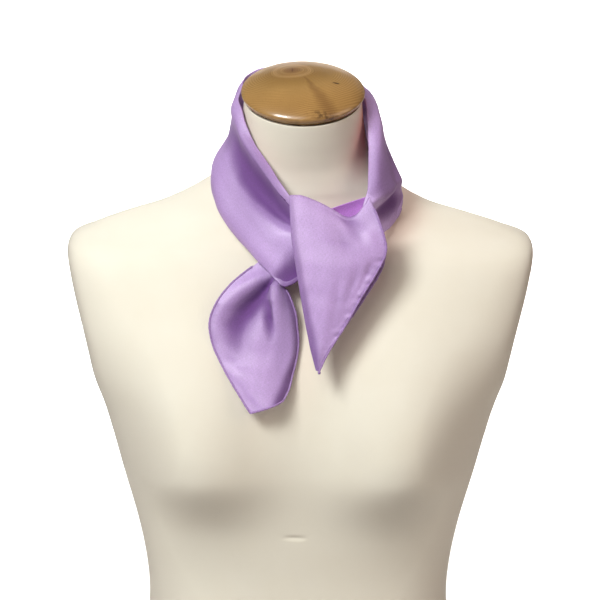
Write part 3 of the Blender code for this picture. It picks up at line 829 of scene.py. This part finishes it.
LEFT_RIDGE = [(13.5, .15, 0, 4), (16, .13, .8, 5), (18, .125, 1.2, 5), (20, .125, 1.5, 5),
              (21.5, .11, 1, 4), (22.5, .10, 0, 4)]
# painted shade: the band darkened in its valley, lower fold, right face, pocket and along its edges
BAND_PAINTED_SHADE = [
    [(13.2, .60, 0, 5), (14.5, .48, .2, 8), (16, .40, .45, 11), (17, .395, .65, 13),
     (18, .385, .85, 15), (19, .37, .95, 15), (20, .345, .95, 12), (21, .31, .9, 9),
     (22.4, .29, .8, 6)],
    [(20.3, .84, 0, 2), (20.7, .80, 1.2, 4), (21, .775, 1.6, 5.5), (21.8, .75, 1.6, 6),
     (23, .75, 1.4, 6)],
    [(20.6, .92, 0, 3), (21, .91, .9, 5), (23, .90, .9, 5)],
    [(4.2, .24, .3, 3), (5, .31, .7, 5), (6, .38, .8, 8), (7, .50, .8, 11), (8, .62, .6, 12),
     (9, .72, 0, 12)],
    [(4.3, .50, 0, 4), (5, .56, .5, 6), (6, .66, .6, 7), (7, .82, .4, 6), (7.6, .90, 0, 5)],
    [(12, 0, .4, 2.5), (22.5, 0, .5, 2.5)],
    [(13, 1, 0, 4), (15, 1, .5, 4), (22.5, 1, .4, 4)],
    [(14.5, .88, 0, 8), (16, .84, .3, 11), (18, .86, .3, 10), (20, .92, .2, 6), (20.6, .94, 0, 5)],
]
BAND_CREASES = [Crease(RIGHT_RIDGE, sharp=True), Crease(RIGHT_POCKET), Crease(LEFT_RIDGE),
                Crease(LEFT_VALLEY), Crease(LEFT_BULGE), Crease(LEFT_TURN_UP), Crease(LEFT_NOTCH)]
band = creased(band, band_levels, band_shares, BAND_CREASES)
print(len(BAND_CREASES), "creases over", band.shape[0], "rows")

# %% The band as a sheet
# painted shade from these lines, added to how deep each point lies in a fold
neck_band = cloth_piece("neck_band", band, silk,
                        painted_fold_shade(band, band_levels, band_shares, BAND_PAINTED_SHADE))
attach(neck_band, "root")
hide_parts("scarf_right_band", "scarf_nape", "scarf_left_band")

# %% [markdown]
# ## The turn behind the knot
# The left end goes under the crossing, rises between it and the throat, and comes over the
# top. Little of it shows, so it needs no folds: a ribbon of lines from its left edge to its
# right edge, each with a slight belly, follows that turn.

# %% Wrap
WrapRow = namedtuple("WrapRow", "left_x left_y left_z right_x right_y right_z belly")
WRAP_TABLE = [
    (24, -87, 540, 44, -84, 538, 1),
    (24, -91, 520, 48, -87, 521, 1),
    (23, -91, 502, 50, -86, 507, 1),
    (22, -85, 494, 49, -79, 500, 1),
    (21, -78, 496, 47, -75.5, 501, 1),
    (20, -74, 508, 46, -72, 512, 1),
    (16, -68, 530, 47, -66, 534, 1),
    (13, -69, 542, 51, -64, 553, 1),
    (12, -71, 549, 55, -64.5, 563, 1),
]
WRAP_ROWS, WRAP_ACROSS = 120, 30


def sheet_rows(table, row_type, levels):
    """Rows of a table at the given levels, with their names."""
    return [row_type(*row) for row in catmull_rom(table, levels)]


def row_ends(row):
    """The left and right ends of one line of a sheet."""
    return (np.array([row.left_x, row.left_y, row.left_z]),
            np.array([row.right_x, row.right_y, row.right_z]))


across = np.linspace(0, 1, WRAP_ACROSS)
rows = sheet_rows(WRAP_TABLE, WrapRow, np.linspace(0, len(WRAP_TABLE) - 1, WRAP_ROWS))
ends = np.array([[*row_ends(row)] for row in rows])
along = unit(np.gradient(ends.mean(axis=1), axis=0))
out = unit(np.cross(along, unit(ends[:, 1] - ends[:, 0])))
wrap = np.array([ends[i, 0] + across[:, None] * (ends[i, 1] - ends[i, 0])
                 + np.sin(math.pi * across)[:, None] * row.belly * out[i]
                 for i, row in enumerate(rows)])
# painted light: the turn wears the brighter silk copy, for light shining through it
knot_turn = cloth_piece("knot_turn", wrap[:, ::-1], silk_painted_glow)
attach(knot_turn, "root")
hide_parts("scarf_wrap")
print("turn", round(walk(wrap, 0)[-1].mean()), "mm long")

# %% [markdown]
# ## The front tail
# This end falls over the knot as a flap folded double, with a round fold on its left. Each row
# of the sheet runs from the back layer's hem, round that fold, to the front layer's hem. At the
# top both layers roll over backwards about one centre, which gives the knot its soft lip.

# %% Front tail's tables
TailRow = namedtuple(
    "TailRow", "left_x left_y left_z right_x right_y right_z sag belly show apart turned")
FRONT_TAIL_TABLE = [
    (-8.5, -88, 575, 52, -85, 575, 19, 0, 0, 2.2, 0),
    (-8, -91, 570, 55, -88, 569, 19, 1, 0, 2.2, 0),
    (-7.2, -96, 559, 62, -93, 554, 13, 3, 0, 3.5, 0),
    (-5, -103, 537, 67.5, -98, 539, 6, 4, 0, 5, 0),
    (-2, -108, 520, 69.5, -102, 525, 2, 4, 0, 5.6, 0),
    (1, -112, 502, 62.5, -106, 510, 0, 4, 3.5, 5.6, 0),
    (4.5, -116, 482, 50.5, -112, 491, 0, 3, 4, 5.6, 0.5),
    (8, -120, 462, 38, -117, 469, 0, 2, 1.5, 5, 1.5),
    (11.5, -124, 443, 24, -122, 447, 0, 1, 0, 3.5, 3),
    (14, -126, 431, 16, -126, 431, 0, 0, 0, 1.6, 1),
]
RIM_DIP = ((0, 0), (.14, .08), (.28, .24), (.42, .46), (.56, .74), (.70, 1), (.82, .90), (.93, .40),
           (1, 0))
TURNED_WIDTH = 0.45
TAIL_CREASES = [
    [(1.6, .52, 0, 7), (3.0, .56, -1.6, 9), (4.4, .60, 0, 9)],
    [(3.8, .66, 0, 4), (5.5, .74, -1.3, 5), (7.6, .80, 0, 4)],
    [(4.6, .46, 0, 4), (6.0, .55, -1.2, 5), (8.0, .66, 0, 4)],
    [(4.0, .84, 0, 3), (5.0, .88, -1.2, 3), (6.4, .86, 0, 2)],
    [(1.3, .80, 0, 5), (2.4, .84, 1.4, 5), (4.0, .90, 0, 5)],
]
# painted shade: the front tail darkened along its left fold and point, mid patch and hem edge
TAIL_PAINTED_SHADE = [
    [(1.2, 0, .35, 2), (4, 0, .6, 2.6), (6.5, 0, .8, 3.4), (7.8, .02, .9, 5), (8.6, .10, .9, 3),
     (9, .3, .8, 2)],
    [(2.0, .50, 0, 8), (3.0, .55, .22, 9), (4.0, .58, 0, 8)],
    [(3.4, 1, 0, 1.2), (4.2, 1, .4, 1.4), (8.4, 1, .4, 1.2)],
]
print("front tail", len(FRONT_TAIL_TABLE), "rows and", len(TAIL_CREASES), "creases")

# %% [markdown]
# ## The flap's front layer
# Between its two edges each row sags at the rim, bellies forward and turns back at the left.
# Along the right edge the stitched hem draws the silk into small puckers, which are two waves
# that fade with the distance from the hem.

# %% Front layer
TAIL_ROWS, TAIL_ACROSS, TAIL_START, DIP_POINTS = 170, 52, 1.2, 72
PUCKERS = ((0.9, 0.35, 0.0), (0.53, 0.0, 2.0))
PUCKER_HEIGHT, PUCKER_REACH, PUCKER_LEVELS = 0.4, 4.5, (3.2, 8.4)


def front_tail_line(row, across):
    """One line across the front layer, from the round fold to the hem."""
    left, right = row_ends(row)
    line = left + across[:, None] * (right - left)
    dip = catmull_rom(RIM_DIP, np.linspace(0, len(RIM_DIP) - 1, DIP_POINTS))
    line[:, 2] -= row.sag * np.interp(across, dip[:, 0], dip[:, 1])
    line[:, 1] -= row.belly * np.sin(math.pi * across)
    line[:, 1] += row.turned * np.clip(1 - across / TURNED_WIDTH, 0, 1) ** 2
    return line


across = np.linspace(0, 1, TAIL_ACROSS)
tail_levels = np.linspace(TAIL_START, len(FRONT_TAIL_TABLE) - 1, TAIL_ROWS)
rows = sheet_rows(FRONT_TAIL_TABLE, TailRow, tail_levels)
front = np.array([front_tail_line(row, across) for row in rows])
front = creased(front[:, ::-1], tail_levels, across[::-1],
                [Crease(line) for line in TAIL_CREASES])[:, ::-1]
from_hem = walk(front[:, ::-1], 1)[:, ::-1]
down_hem = walk(front, 0)[:, -1:]
puckers = sum(np.sin(a * down_hem + b * from_hem + start) for a, b, start in PUCKERS)
calm = np.clip(np.minimum(tail_levels - PUCKER_LEVELS[0], PUCKER_LEVELS[1] - tail_levels), 0, 1)
front[..., 1] -= PUCKER_HEIGHT * puckers * np.exp(-from_hem / PUCKER_REACH) * calm[:, None]
print("front tail", round(walk(front, 0)[-1].mean()), "mm long")

# %% [markdown]
# ## The flap's fold, back layer and roll
# The back layer is a copy of the front one, a few millimetres behind it, and half circles join
# the two at the left. At the top each column of both layers turns about a centre behind the
# front layer, which makes the roll over the knot.

# %% Fold, back layer and roll
FOLD_POINTS, ROLL_ROWS, ROLL_RADIUS, ROLL_FROM, ROLL_TO = 9, 14, 3.6, 25.0, 165.0
LIP_LEAST, LIP_RISE, ARM_LEAST = 0.45, (8, 5), 0.25     # the lip tapers towards its two ends
# painted shade: the back layer is darkened further, as it lies behind the front one
BACK_PAINTED_SHADE = 0.7

back = front.copy()
back[:, :, 1] += np.array([row.apart for row in rows])[:, None]
back[:, :, 0] += np.array([row.show for row in rows])[:, None] * across
half_turn = np.linspace(0, math.pi, FOLD_POINTS + 2)[1:-1]
middle, radius = 0.5 * (front[:, 0] + back[:, 0]), 0.5 * (back[:, 0, 1] - front[:, 0, 1])
fold = np.stack([middle[:, None, 0] - radius[:, None] * np.sin(half_turn),
                 middle[:, None, 1] + radius[:, None] * np.cos(half_turn),
                 middle[:, None, 2] + 0 * radius[:, None] * half_turn], axis=-1)
flap = np.concatenate([back[:, ::-1], fold, front], axis=1)

shares = np.concatenate([across[::-1], np.zeros(FOLD_POINTS), across])
rise = np.clip(np.minimum(LIP_RISE[0] * shares, LIP_RISE[1] * (1 - shares)), 0, 1)
lip = ROLL_RADIUS * (LIP_LEAST + (1 - LIP_LEAST) * rise)
rim, edge = flap[0], front[0, :, 1]
behind_front = rim[:, 1] - np.concatenate([edge[::-1], np.full(FOLD_POINTS, edge[0]), edge])
arm = np.maximum(lip - behind_front, ARM_LEAST)
# painted shade for the flap: the front's lines, the back darker still, and the roll as its rim
tone = painted_fold_shade(front, tail_levels, across, TAIL_PAINTED_SHADE)
tone = np.concatenate([tone[:, ::-1] + BACK_PAINTED_SHADE, np.repeat(tone[:, :1], FOLD_POINTS, axis=1),
                       tone], axis=1)
tone = np.concatenate([np.repeat(tone[:1], ROLL_ROWS, axis=0), tone])
lean = math.radians(ROLL_FROM)
roll = [rim + np.stack([0 * arm, arm * (math.cos(lean) - math.cos(a)),
                        arm * (math.sin(a) - math.sin(lean))], axis=1)
        for a in np.radians(np.linspace(ROLL_TO, ROLL_FROM, ROLL_ROWS, endpoint=False))]
flap = np.concatenate([np.array(roll), flap], axis=0)
front_tail = cloth_piece("front_tail", flap[:, ::-1], silk, tone[:, ::-1])
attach(front_tail, "root")
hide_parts("scarf_front_tail")
print("front tail", len(front_tail.data.polygons), "faces")

# %% [markdown]
# ## The lower tail
# The other end comes out under the knot as one open corner of the square. It is gathered at
# the top, so a deep trough, a thin ridge and a narrow valley fan out from there and fade
# towards the hem, and its right side rolls away.

# %% Lower tail's tables
LowerRow = namedtuple(
    "LowerRow", "left_x left_y left_z right_x right_y right_z belly roll_from roll")
LOWER_TAIL_TABLE = [
    (-30, -75.5, 513, -14.5, -81.5, 498, 0, .90, 0),
    (-37, -78, 508, -12.5, -89, 492, 1, .90, 0),
    (-46, -82, 502, -9, -92, 484, 3, .88, 1),
    (-58, -87, 492, -5, -94, 473, 4.5, .88, 1.5),
    (-68, -91, 479, -3.5, -96, 462, 5.5, .90, 2),
    (-74, -96, 464, -2, -98, 450, 6, .91, 2.5),
    (-71.5, -101, 446, -2.5, -101, 437, 6, .91, 3),
    (-62.5, -108, 428, -5, -106, 424, 5.5, .88, 3.5),
    (-52.5, -115, 412, -8, -112, 412, 4, .80, 3.5),
    (-40, -122, 393.5, -13, -118, 402, 2.5, .66, 3.5),
]
TROUGH = [(0.8, .60, 0, 2), (1.5, .56, -4, 3.5), (2, .51, -7, 5), (3, .43, -9, 9), (4, .37, -9, 12),
          (5, .32, -6, 13), (6, .27, -2, 12), (6.8, .24, 0, 10)]
SHOULDER = [(1.0, .30, 0, 4), (2, .26, 2, 6), (3, .17, 3, 8), (4, .10, 3, 8), (5, .06, 1, 8),
            (6, .05, 0, 8)]
THIN_RIDGE = [(0.3, .76, 0, 2), (0.8, .735, 3, 2), (1.3, .71, 5.5, 2.3), (1.8, .69, 7.5, 2.8),
              (2.8, .684, 8, 4), (3.6, .71, 6, 6), (4.5, .74, 3.5, 8), (5.5, .76, 1.6, 9),
              (6.5, .77, .5, 9), (7.5, .78, 0, 9)]
NARROW_VALLEY = [(2.6, .61, 0, 3), (3.3, .62, -3, 3.5), (4, .65, -4.5, 4), (4.8, .69, -2.5, 4),
                 (5.5, .71, 0, 4)]
# painted shade: the lower tail darkened in its trough and narrow valley, and along both sides
LOWER_PAINTED_SHADE = [
    [(0.5, .70, 0.81, 2), (1, .64, 1.35, 3.5), (1.5, .57, 1.35, 5), (2, .52, 1.35, 7),
     (3, .43, 1.35, 11), (4, .35, 1.22, 13), (5, .31, 0.94, 12), (6, .27, 0.41, 11),
     (6.8, .25, 0, 10)],
    [(2.8, .61, 0.41, 3), (4, .645, 1.22, 3.6), (5, .69, 0.68, 4), (5.6, .70, 0, 4)],
    [(0.8, .95, 0.81, 4), (2, .94, 0.81, 4), (4, .98, 0.81, 3), (6, .99, 0.94, 3),
     (7, .97, 1.22, 4.5), (8, .93, 1.22, 6), (9, .86, 1.22, 7)],
    [(4, 0, 0.41, 3), (6, 0, 0.27, 3), (8, 0, 0, 3)],
]
LOWER_DIMPLES = [
    [(6.0, .12, 0, 4), (6.6, .16, -0.8, 5), (7.3, .18, 0, 4)],
    [(7.6, .10, 0, 3), (8.4, .16, -0.7, 4), (9, .2, 0, 4)],
]
LOWER_CREASES = [Crease(TROUGH), Crease(SHOULDER), Crease(THIN_RIDGE, sharp=True, gentle=3.5),
                 Crease(NARROW_VALLEY), *(Crease(line) for line in LOWER_DIMPLES)]
print("lower tail", len(LOWER_TAIL_TABLE), "rows and", len(LOWER_CREASES), "creases")

# %% Lower tail
LOWER_ROWS, LOWER_ACROSS = 150, 96

across = np.linspace(0, 1, LOWER_ACROSS)
lower_levels = np.linspace(0, len(LOWER_TAIL_TABLE) - 1, LOWER_ROWS)
lower = []
for row in sheet_rows(LOWER_TAIL_TABLE, LowerRow, lower_levels):
    left, right = row_ends(row)
    line = left + across[:, None] * (right - left)
    rolled = np.clip((across - row.roll_from) / (1 - row.roll_from), 0, 1)
    line[:, 1] += row.roll * rolled ** 2 - row.belly * np.sin(math.pi * across)
    lower.append(line)
lower = np.array(lower)
lower = creased(lower[:, ::-1], lower_levels, across[::-1], LOWER_CREASES)[:, ::-1]
# painted shade from the lower tail's lines, added to how deep each point lies in a fold
lower_tail = cloth_piece("lower_tail", lower[:, ::-1], silk,
                         painted_fold_shade(lower, lower_levels, across, LOWER_PAINTED_SHADE)[:, ::-1])
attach(lower_tail, "root")
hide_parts("scarf_lower_tail")
print("lower tail", round(walk(lower, 0)[-1].mean()), "mm long")

# %% [markdown]
# ## Rolled hems
# A silk square is hemmed by hand: its edge is rolled tight towards the wrong side and whipped
# down, which leaves a thin round cord along every cut edge. A bevelled curve could draw it, but
# rings swept along the sheet's own border can vary a little, as a rolled edge does. At the
# point of the front tail, where two rolled edges meet, the tube curls into a small knot.

# %% Rolled hems
HEM_RADIUS, HEM_STEP, HEM_SIDES = 0.85, 1.2, 8
# painted shade: the hem cords take a fixed share of the silk's darker shade colour
HEM_PAINTED_SHADE = 0.45
HEM_WAVES = ((0.10, 1.7, 0.0), (0.07, 0.61, 1.0))
HEM_STARTS = {"front": 1.7, "back": 3.6, "lower": 1.3}     # the first row of each that shows
TIP_KNOT_RADIUS, TIP_KNOT_TURNS, TIP_KNOT_POINTS = 0.7, 2.2, 26
TIP_KNOT_RISE, TIP_KNOT_DROP = 0.12, 0.3
OUTWARD = np.array([0.0, -1.0, 0.15])


def evened_path(points, step):
    """The same path with its points one step apart."""
    length = np.concatenate([[0], np.cumsum(np.linalg.norm(np.diff(points, axis=0), axis=1))])
    even = np.linspace(0, length[-1], max(3, int(length[-1] / step)))
    return np.stack([np.interp(even, length, points[:, k]) for k in range(3)], axis=1)


def hem_rings(path, outward):
    """Rings of points round a path, the first spoke of each ring turned to the outward way."""
    tangent = unit(np.gradient(path, axis=0))
    side = unit(np.cross(tangent, outward))
    lift = np.cross(side, tangent)
    length = np.arange(len(path)) * HEM_STEP
    radius = HEM_RADIUS * sum((a * np.sin(b * length + start) for a, b, start in HEM_WAVES), 1)
    turn = np.linspace(0, math.tau, HEM_SIDES, endpoint=False)
    return (path[:, None] + radius[:, None, None] * (np.cos(turn)[None, :, None] * lift[:, None]
                                                     + np.sin(turn)[None, :, None] * side[:, None]))


tip = front[-1, -1]
curl = np.linspace(0, TIP_KNOT_TURNS * math.tau, TIP_KNOT_POINTS)[1:]
tip_knot = tip + np.stack([TIP_KNOT_RADIUS * np.sin(curl), -TIP_KNOT_RISE * curl,
                           -TIP_KNOT_DROP - TIP_KNOT_RADIUS * (1 - np.cos(curl))], axis=1)
front_edge = front[np.searchsorted(tail_levels, HEM_STARTS["front"]):, -1]
back_edge = back[np.searchsorted(tail_levels, HEM_STARTS["back"]):, -1]
shown = lower[np.searchsorted(lower_levels, HEM_STARTS["lower"]):]
hem_paths = [np.concatenate([front_edge, tip_knot]), back_edge,
             np.concatenate([shown[:, 0], shown[-1, 1:-1], shown[::-1, -1]])]
hem_paths = [evened_path(path, HEM_STEP) for path in hem_paths]
print("hems", [round(len(path) * HEM_STEP) for path in hem_paths], "mm long")

# %% Hems as tubes
points, faces, uv, start = [], [], [], 0
for path in hem_paths:
    rings = hem_rings(path, OUTWARD)
    count = len(path) * HEM_SIDES
    faces += [tuple(start + k for k in face) for face in grid_faces(len(path), HEM_SIDES, wrap=True)]
    faces.append(tuple(start + k for k in reversed(range(HEM_SIDES))))
    faces.append(tuple(start + count - HEM_SIDES + k for k in range(HEM_SIDES)))
    around = np.arange(HEM_SIDES) * (math.tau * HEM_RADIUS / HEM_SIDES)
    uv.append(np.stack(np.meshgrid(np.arange(len(path)) * HEM_STEP, around, indexing="ij"),
                       axis=-1).reshape(-1, 2))
    points.append(rings.reshape(-1, 3))
    start += count
points = np.concatenate(points)
# painted shade: every hem point gets the same fixed share of the darker colour
rolled_hems = mesh_piece("rolled_hems", points, [face[::-1] for face in faces], silk,
                         np.concatenate(uv), np.full(len(points), HEM_PAINTED_SHADE))
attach(rolled_hems, "root")
print("hems", len(rolled_hems.data.polygons), "faces")

# %% [markdown]
# ## Whip stitches
# The hem is held by small slanted stitches, each a few millimetres from the next. They all look
# alike and follow the hem's line, so Geometry Nodes set them out: the line becomes a curve,
# the curve is cut to even steps, and one short thread is put on every step and turned to
# lean across the hem.

# %% Stitch thread
thread, tree, shader = new_material("silk_thread", Roughness=0.5, Sheen_Weight=0.1)
place = add_node(tree, "ShaderNodeTexCoord").outputs["Object"]
twist = noise(tree, place, 2400.0, 1.0)
base = ramp(tree, twist, (0.3, linear(150, 104, 176)), (0.7, linear(196, 158, 216)))
tree.links.new(base, shader.inputs["Base Color"])
print("thread", len(tree.nodes), "nodes")

# %% Stitch nodes
STITCH_SPACING, STITCH_LENGTH, STITCH_RADIUS, STITCH_LEAN = 3.2, 2.3, 0.17, 38.0
STITCH_LIFT, STITCH_SIDES = 0.95, 6


def stitch_tree(material):
    """A node group that puts one leaning thread on every step of a line."""
    group = bpy.data.node_groups.new("whip_stitches", "GeometryNodeTree")
    sockets = group.interface
    sockets.new_socket("Line", in_out="INPUT", socket_type="NodeSocketGeometry")
    for name in ("Spacing", "Length", "Radius", "Lift", "Lean"):
        sockets.new_socket(name, in_out="INPUT", socket_type="NodeSocketFloat")
    sockets.new_socket("Stitches", in_out="OUTPUT", socket_type="NodeSocketGeometry")
    given = group.nodes.new("NodeGroupInput").outputs
    line = add_node(group, "GeometryNodeMeshToCurve", {"Mesh": given["Line"]})
    steps = add_node(group, "GeometryNodeResampleCurve",
                     {"Curve": line.outputs["Curve"], "Length": given["Spacing"]}, mode="LENGTH")
    stitch = add_node(group, "GeometryNodeMeshCylinder",
                      {"Vertices": STITCH_SIDES, "Radius": given["Radius"],
                       "Depth": given["Length"]})
    tangent = add_node(group, "GeometryNodeInputTangent")
    outward = add_node(group, "GeometryNodeInputNamedAttribute", {"Name": "outward"},
                       data_type="FLOAT_VECTOR")
    along = add_node(group, "FunctionNodeAlignRotationToVector",
                     {"Vector": tangent.outputs["Tangent"]}, axis="Z")
    facing = add_node(group, "FunctionNodeAlignRotationToVector",
                      {"Rotation": along.outputs["Rotation"],
                       "Vector": outward.outputs["Attribute"]}, axis="X", pivot_axis="Z")
    lean = add_node(group, "ShaderNodeCombineXYZ", {"X": given["Lean"]})
    lean = add_node(group, "FunctionNodeEulerToRotation", {"Euler": lean.outputs["Vector"]})
    turned = add_node(group, "FunctionNodeRotateRotation",
                      {"Rotation": facing.outputs["Rotation"],
                       "Rotate By": lean.outputs["Rotation"]}, rotation_space="LOCAL")
    laid = add_node(group, "GeometryNodeInstanceOnPoints",
                    {"Points": steps.outputs["Curve"], "Instance": stitch.outputs["Mesh"],
                     "Rotation": turned.outputs["Rotation"]})
    lift = add_node(group, "ShaderNodeCombineXYZ", {"X": given["Lift"]})
    raised = add_node(group, "GeometryNodeTranslateInstances",
                      {"Instances": laid.outputs["Instances"],
                       "Translation": lift.outputs["Vector"]})
    real = add_node(group, "GeometryNodeRealizeInstances",
                    {"Geometry": raised.outputs["Instances"]})
    finish = add_node(group, "GeometryNodeSetMaterial",
                      {"Geometry": real.outputs["Geometry"], "Material": material})
    result = group.nodes.new("NodeGroupOutput")
    group.links.new(finish.outputs["Geometry"], result.inputs["Stitches"])
    return group

# %% Whip stitches
group = stitch_tree(thread)
points = np.concatenate(hem_paths)
edges, start = [], 0
for path in hem_paths:
    edges += [(start + k, start + k + 1) for k in range(len(path) - 1)]
    start += len(path)
guide_mesh = bpy.data.meshes.new("hem_guide")
guide_mesh.from_pydata([tuple(p * MM) for p in points], edges, [])
outward = guide_mesh.attributes.new("outward", "FLOAT_VECTOR", "POINT")
outward.data.foreach_set("vector", np.tile(OUTWARD, (len(points), 1)).ravel())
guide = bpy.data.objects.new("hem_guide", guide_mesh)
bpy.context.scene.collection.objects.link(guide)
layer = guide.modifiers.new("stitches", "NODES")
layer.node_group = group
sizes = {"Spacing": STITCH_SPACING * MM, "Length": STITCH_LENGTH * MM, "Radius": STITCH_RADIUS * MM,
         "Lift": STITCH_LIFT * HEM_RADIUS * MM, "Lean": math.radians(STITCH_LEAN)}
for socket in group.interface.items_tree:
    if socket.item_type == "SOCKET" and socket.name in sizes:
        layer[socket.identifier] = sizes[socket.name]
seen = guide.evaluated_get(bpy.context.evaluated_depsgraph_get())
stitch_mesh = bpy.data.meshes.new_from_object(seen)
stitch_mesh.name = "whip_stitches"
whip_stitches = bpy.data.objects.new("whip_stitches", stitch_mesh)
bpy.context.scene.collection.objects.link(whip_stitches)
bpy.data.objects.remove(guide, do_unlink=True)
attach(whip_stitches, "root")
print("stitches", len(stitch_mesh.polygons), "faces")

# %% [markdown]
# ## Floor
# A pale floor runs back and curves up behind the form, as a roll of paper does in a studio. A
# plane and a wall would show a line where they meet, and the bend hides it.

# %% Floor
FLOOR_HALF, FLOOR_FRONT, FLOOR_DROP = 6000.0, -5000.0, 0.3
BACKDROP_AT, BACKDROP_HIGH, BACKDROP_BEND, BEND_STEPS = 3600.0, 3000.0, 900.0, 16
FLOOR_COLOUR = (0.74, 0.73, 0.72, 1.0)

bend = np.linspace(0, 0.5 * math.pi, BEND_STEPS + 1)
profile = [(FLOOR_FRONT, 0.0),
           *zip(BACKDROP_AT - BACKDROP_BEND + BACKDROP_BEND * np.sin(bend),
                BACKDROP_BEND * (1 - np.cos(bend))),
           (BACKDROP_AT, BACKDROP_HIGH)]
floor_grid = np.array([[(-FLOOR_HALF, y, z - FLOOR_DROP), (FLOOR_HALF, y, z - FLOOR_DROP)]
                       for y, z in profile])
pale, tree, shader = new_material("pale_floor", Roughness=0.9, Base_Color=FLOOR_COLOUR)
floor = mesh_piece("floor", floor_grid.reshape(-1, 3), grid_faces(len(profile), 2), pale)
floor.data.flip_normals()
print("floor", len(floor.data.polygons), "faces")

# %% [markdown]
# ## Light
# One fairly small softbox high at the left gives the soft shadows, and a wider one beside it
# fills them. A warm light in front, one at the right and one behind round the form off. Two
# more lie over the floor behind it and keep the backdrop pale, and they and the back light
# aren't reflected, so the varnish shows one clean highlight. The sky is dim and warm. Each
# softbox is placed by where it stands round the form, how high, and how far off.

# %% Lights
LIGHT_TARGET = np.array([0.0, -0.05, 0.45])
SOFTBOXES = {      # azimuth and elevation in degrees, distance, size, spread, power, colour
    "key": (-38, 42, 2.2, 0.7, 100, 12.4, (0.98, 1.0, 0.99)),
    "high": (-15, 44, 2.2, 0.9, 100, 2.6, (1.0, 0.99, 0.97)),
    "front": (-14, 24, 2.4, 1.0, 140, 1.3, (1.0, 0.82, 0.72)),
    "side": (70, 30, 2.2, 1.4, 100, 4.0, (1.0, 0.80, 0.70)),
    "back": (165, 40, 2.2, 1.4, 100, 2.0, (0.97, 0.98, 1.0)),
}
FLOOR_LIGHTS = {   # place, aim, size, spread, power, colour
    "near_floor": ((0.0, 1.6, 1.7), (0.0, 1.6, 0.0), 1.8, 88, 54, (1.0, 1.0, 1.0)),
    "far_floor": ((0.0, 3.5, 2.0), (0.0, 3.7, 0.0), 1.6, 95, 74, (1.0, 1.0, 1.0)),
}
UNREFLECTED = ("back", *FLOOR_LIGHTS)
SKY_COLOUR, SKY_STRENGTH = (1.0, 0.84, 0.78, 1.0), 0.08


def add_area_light(name, place, aim, size, spread, power, colour):
    """A square softbox at a place, turned to its aim."""
    data = bpy.data.lights.new(name, "AREA")
    data.shape = "SQUARE"
    data.size = size
    data.spread = math.radians(spread)
    data.energy = power
    data.color = colour
    light = bpy.data.objects.new(name, data)
    bpy.context.scene.collection.objects.link(light)
    light.location = place
    light.visible_glossy = name not in UNREFLECTED
    ray = np.asarray(aim) - np.asarray(place)
    light.rotation_euler = (math.acos(-ray[2] / np.linalg.norm(ray)), 0.0,
                            math.atan2(ray[0], -ray[1]) + math.pi)


for name, (azimuth, elevation, distance, *lamp) in SOFTBOXES.items():
    turn, rise = math.radians(azimuth), math.radians(elevation)
    way = np.array([math.sin(turn) * math.cos(rise), -math.cos(turn) * math.cos(rise),
                    math.sin(rise)])
    add_area_light(name, LIGHT_TARGET + distance * way, LIGHT_TARGET, *lamp)
for name, lamp in FLOOR_LIGHTS.items():
    add_area_light(name, *lamp)
world = bpy.data.worlds.new("studio")
world.use_nodes = True
sky = world.node_tree.nodes["Background"].inputs
sky["Color"].default_value = SKY_COLOUR
sky["Strength"].default_value = SKY_STRENGTH
bpy.context.scene.world = world
bpy.context.scene.view_settings.view_transform = "Standard"
print("lights", [*SOFTBOXES, *FLOOR_LIGHTS])
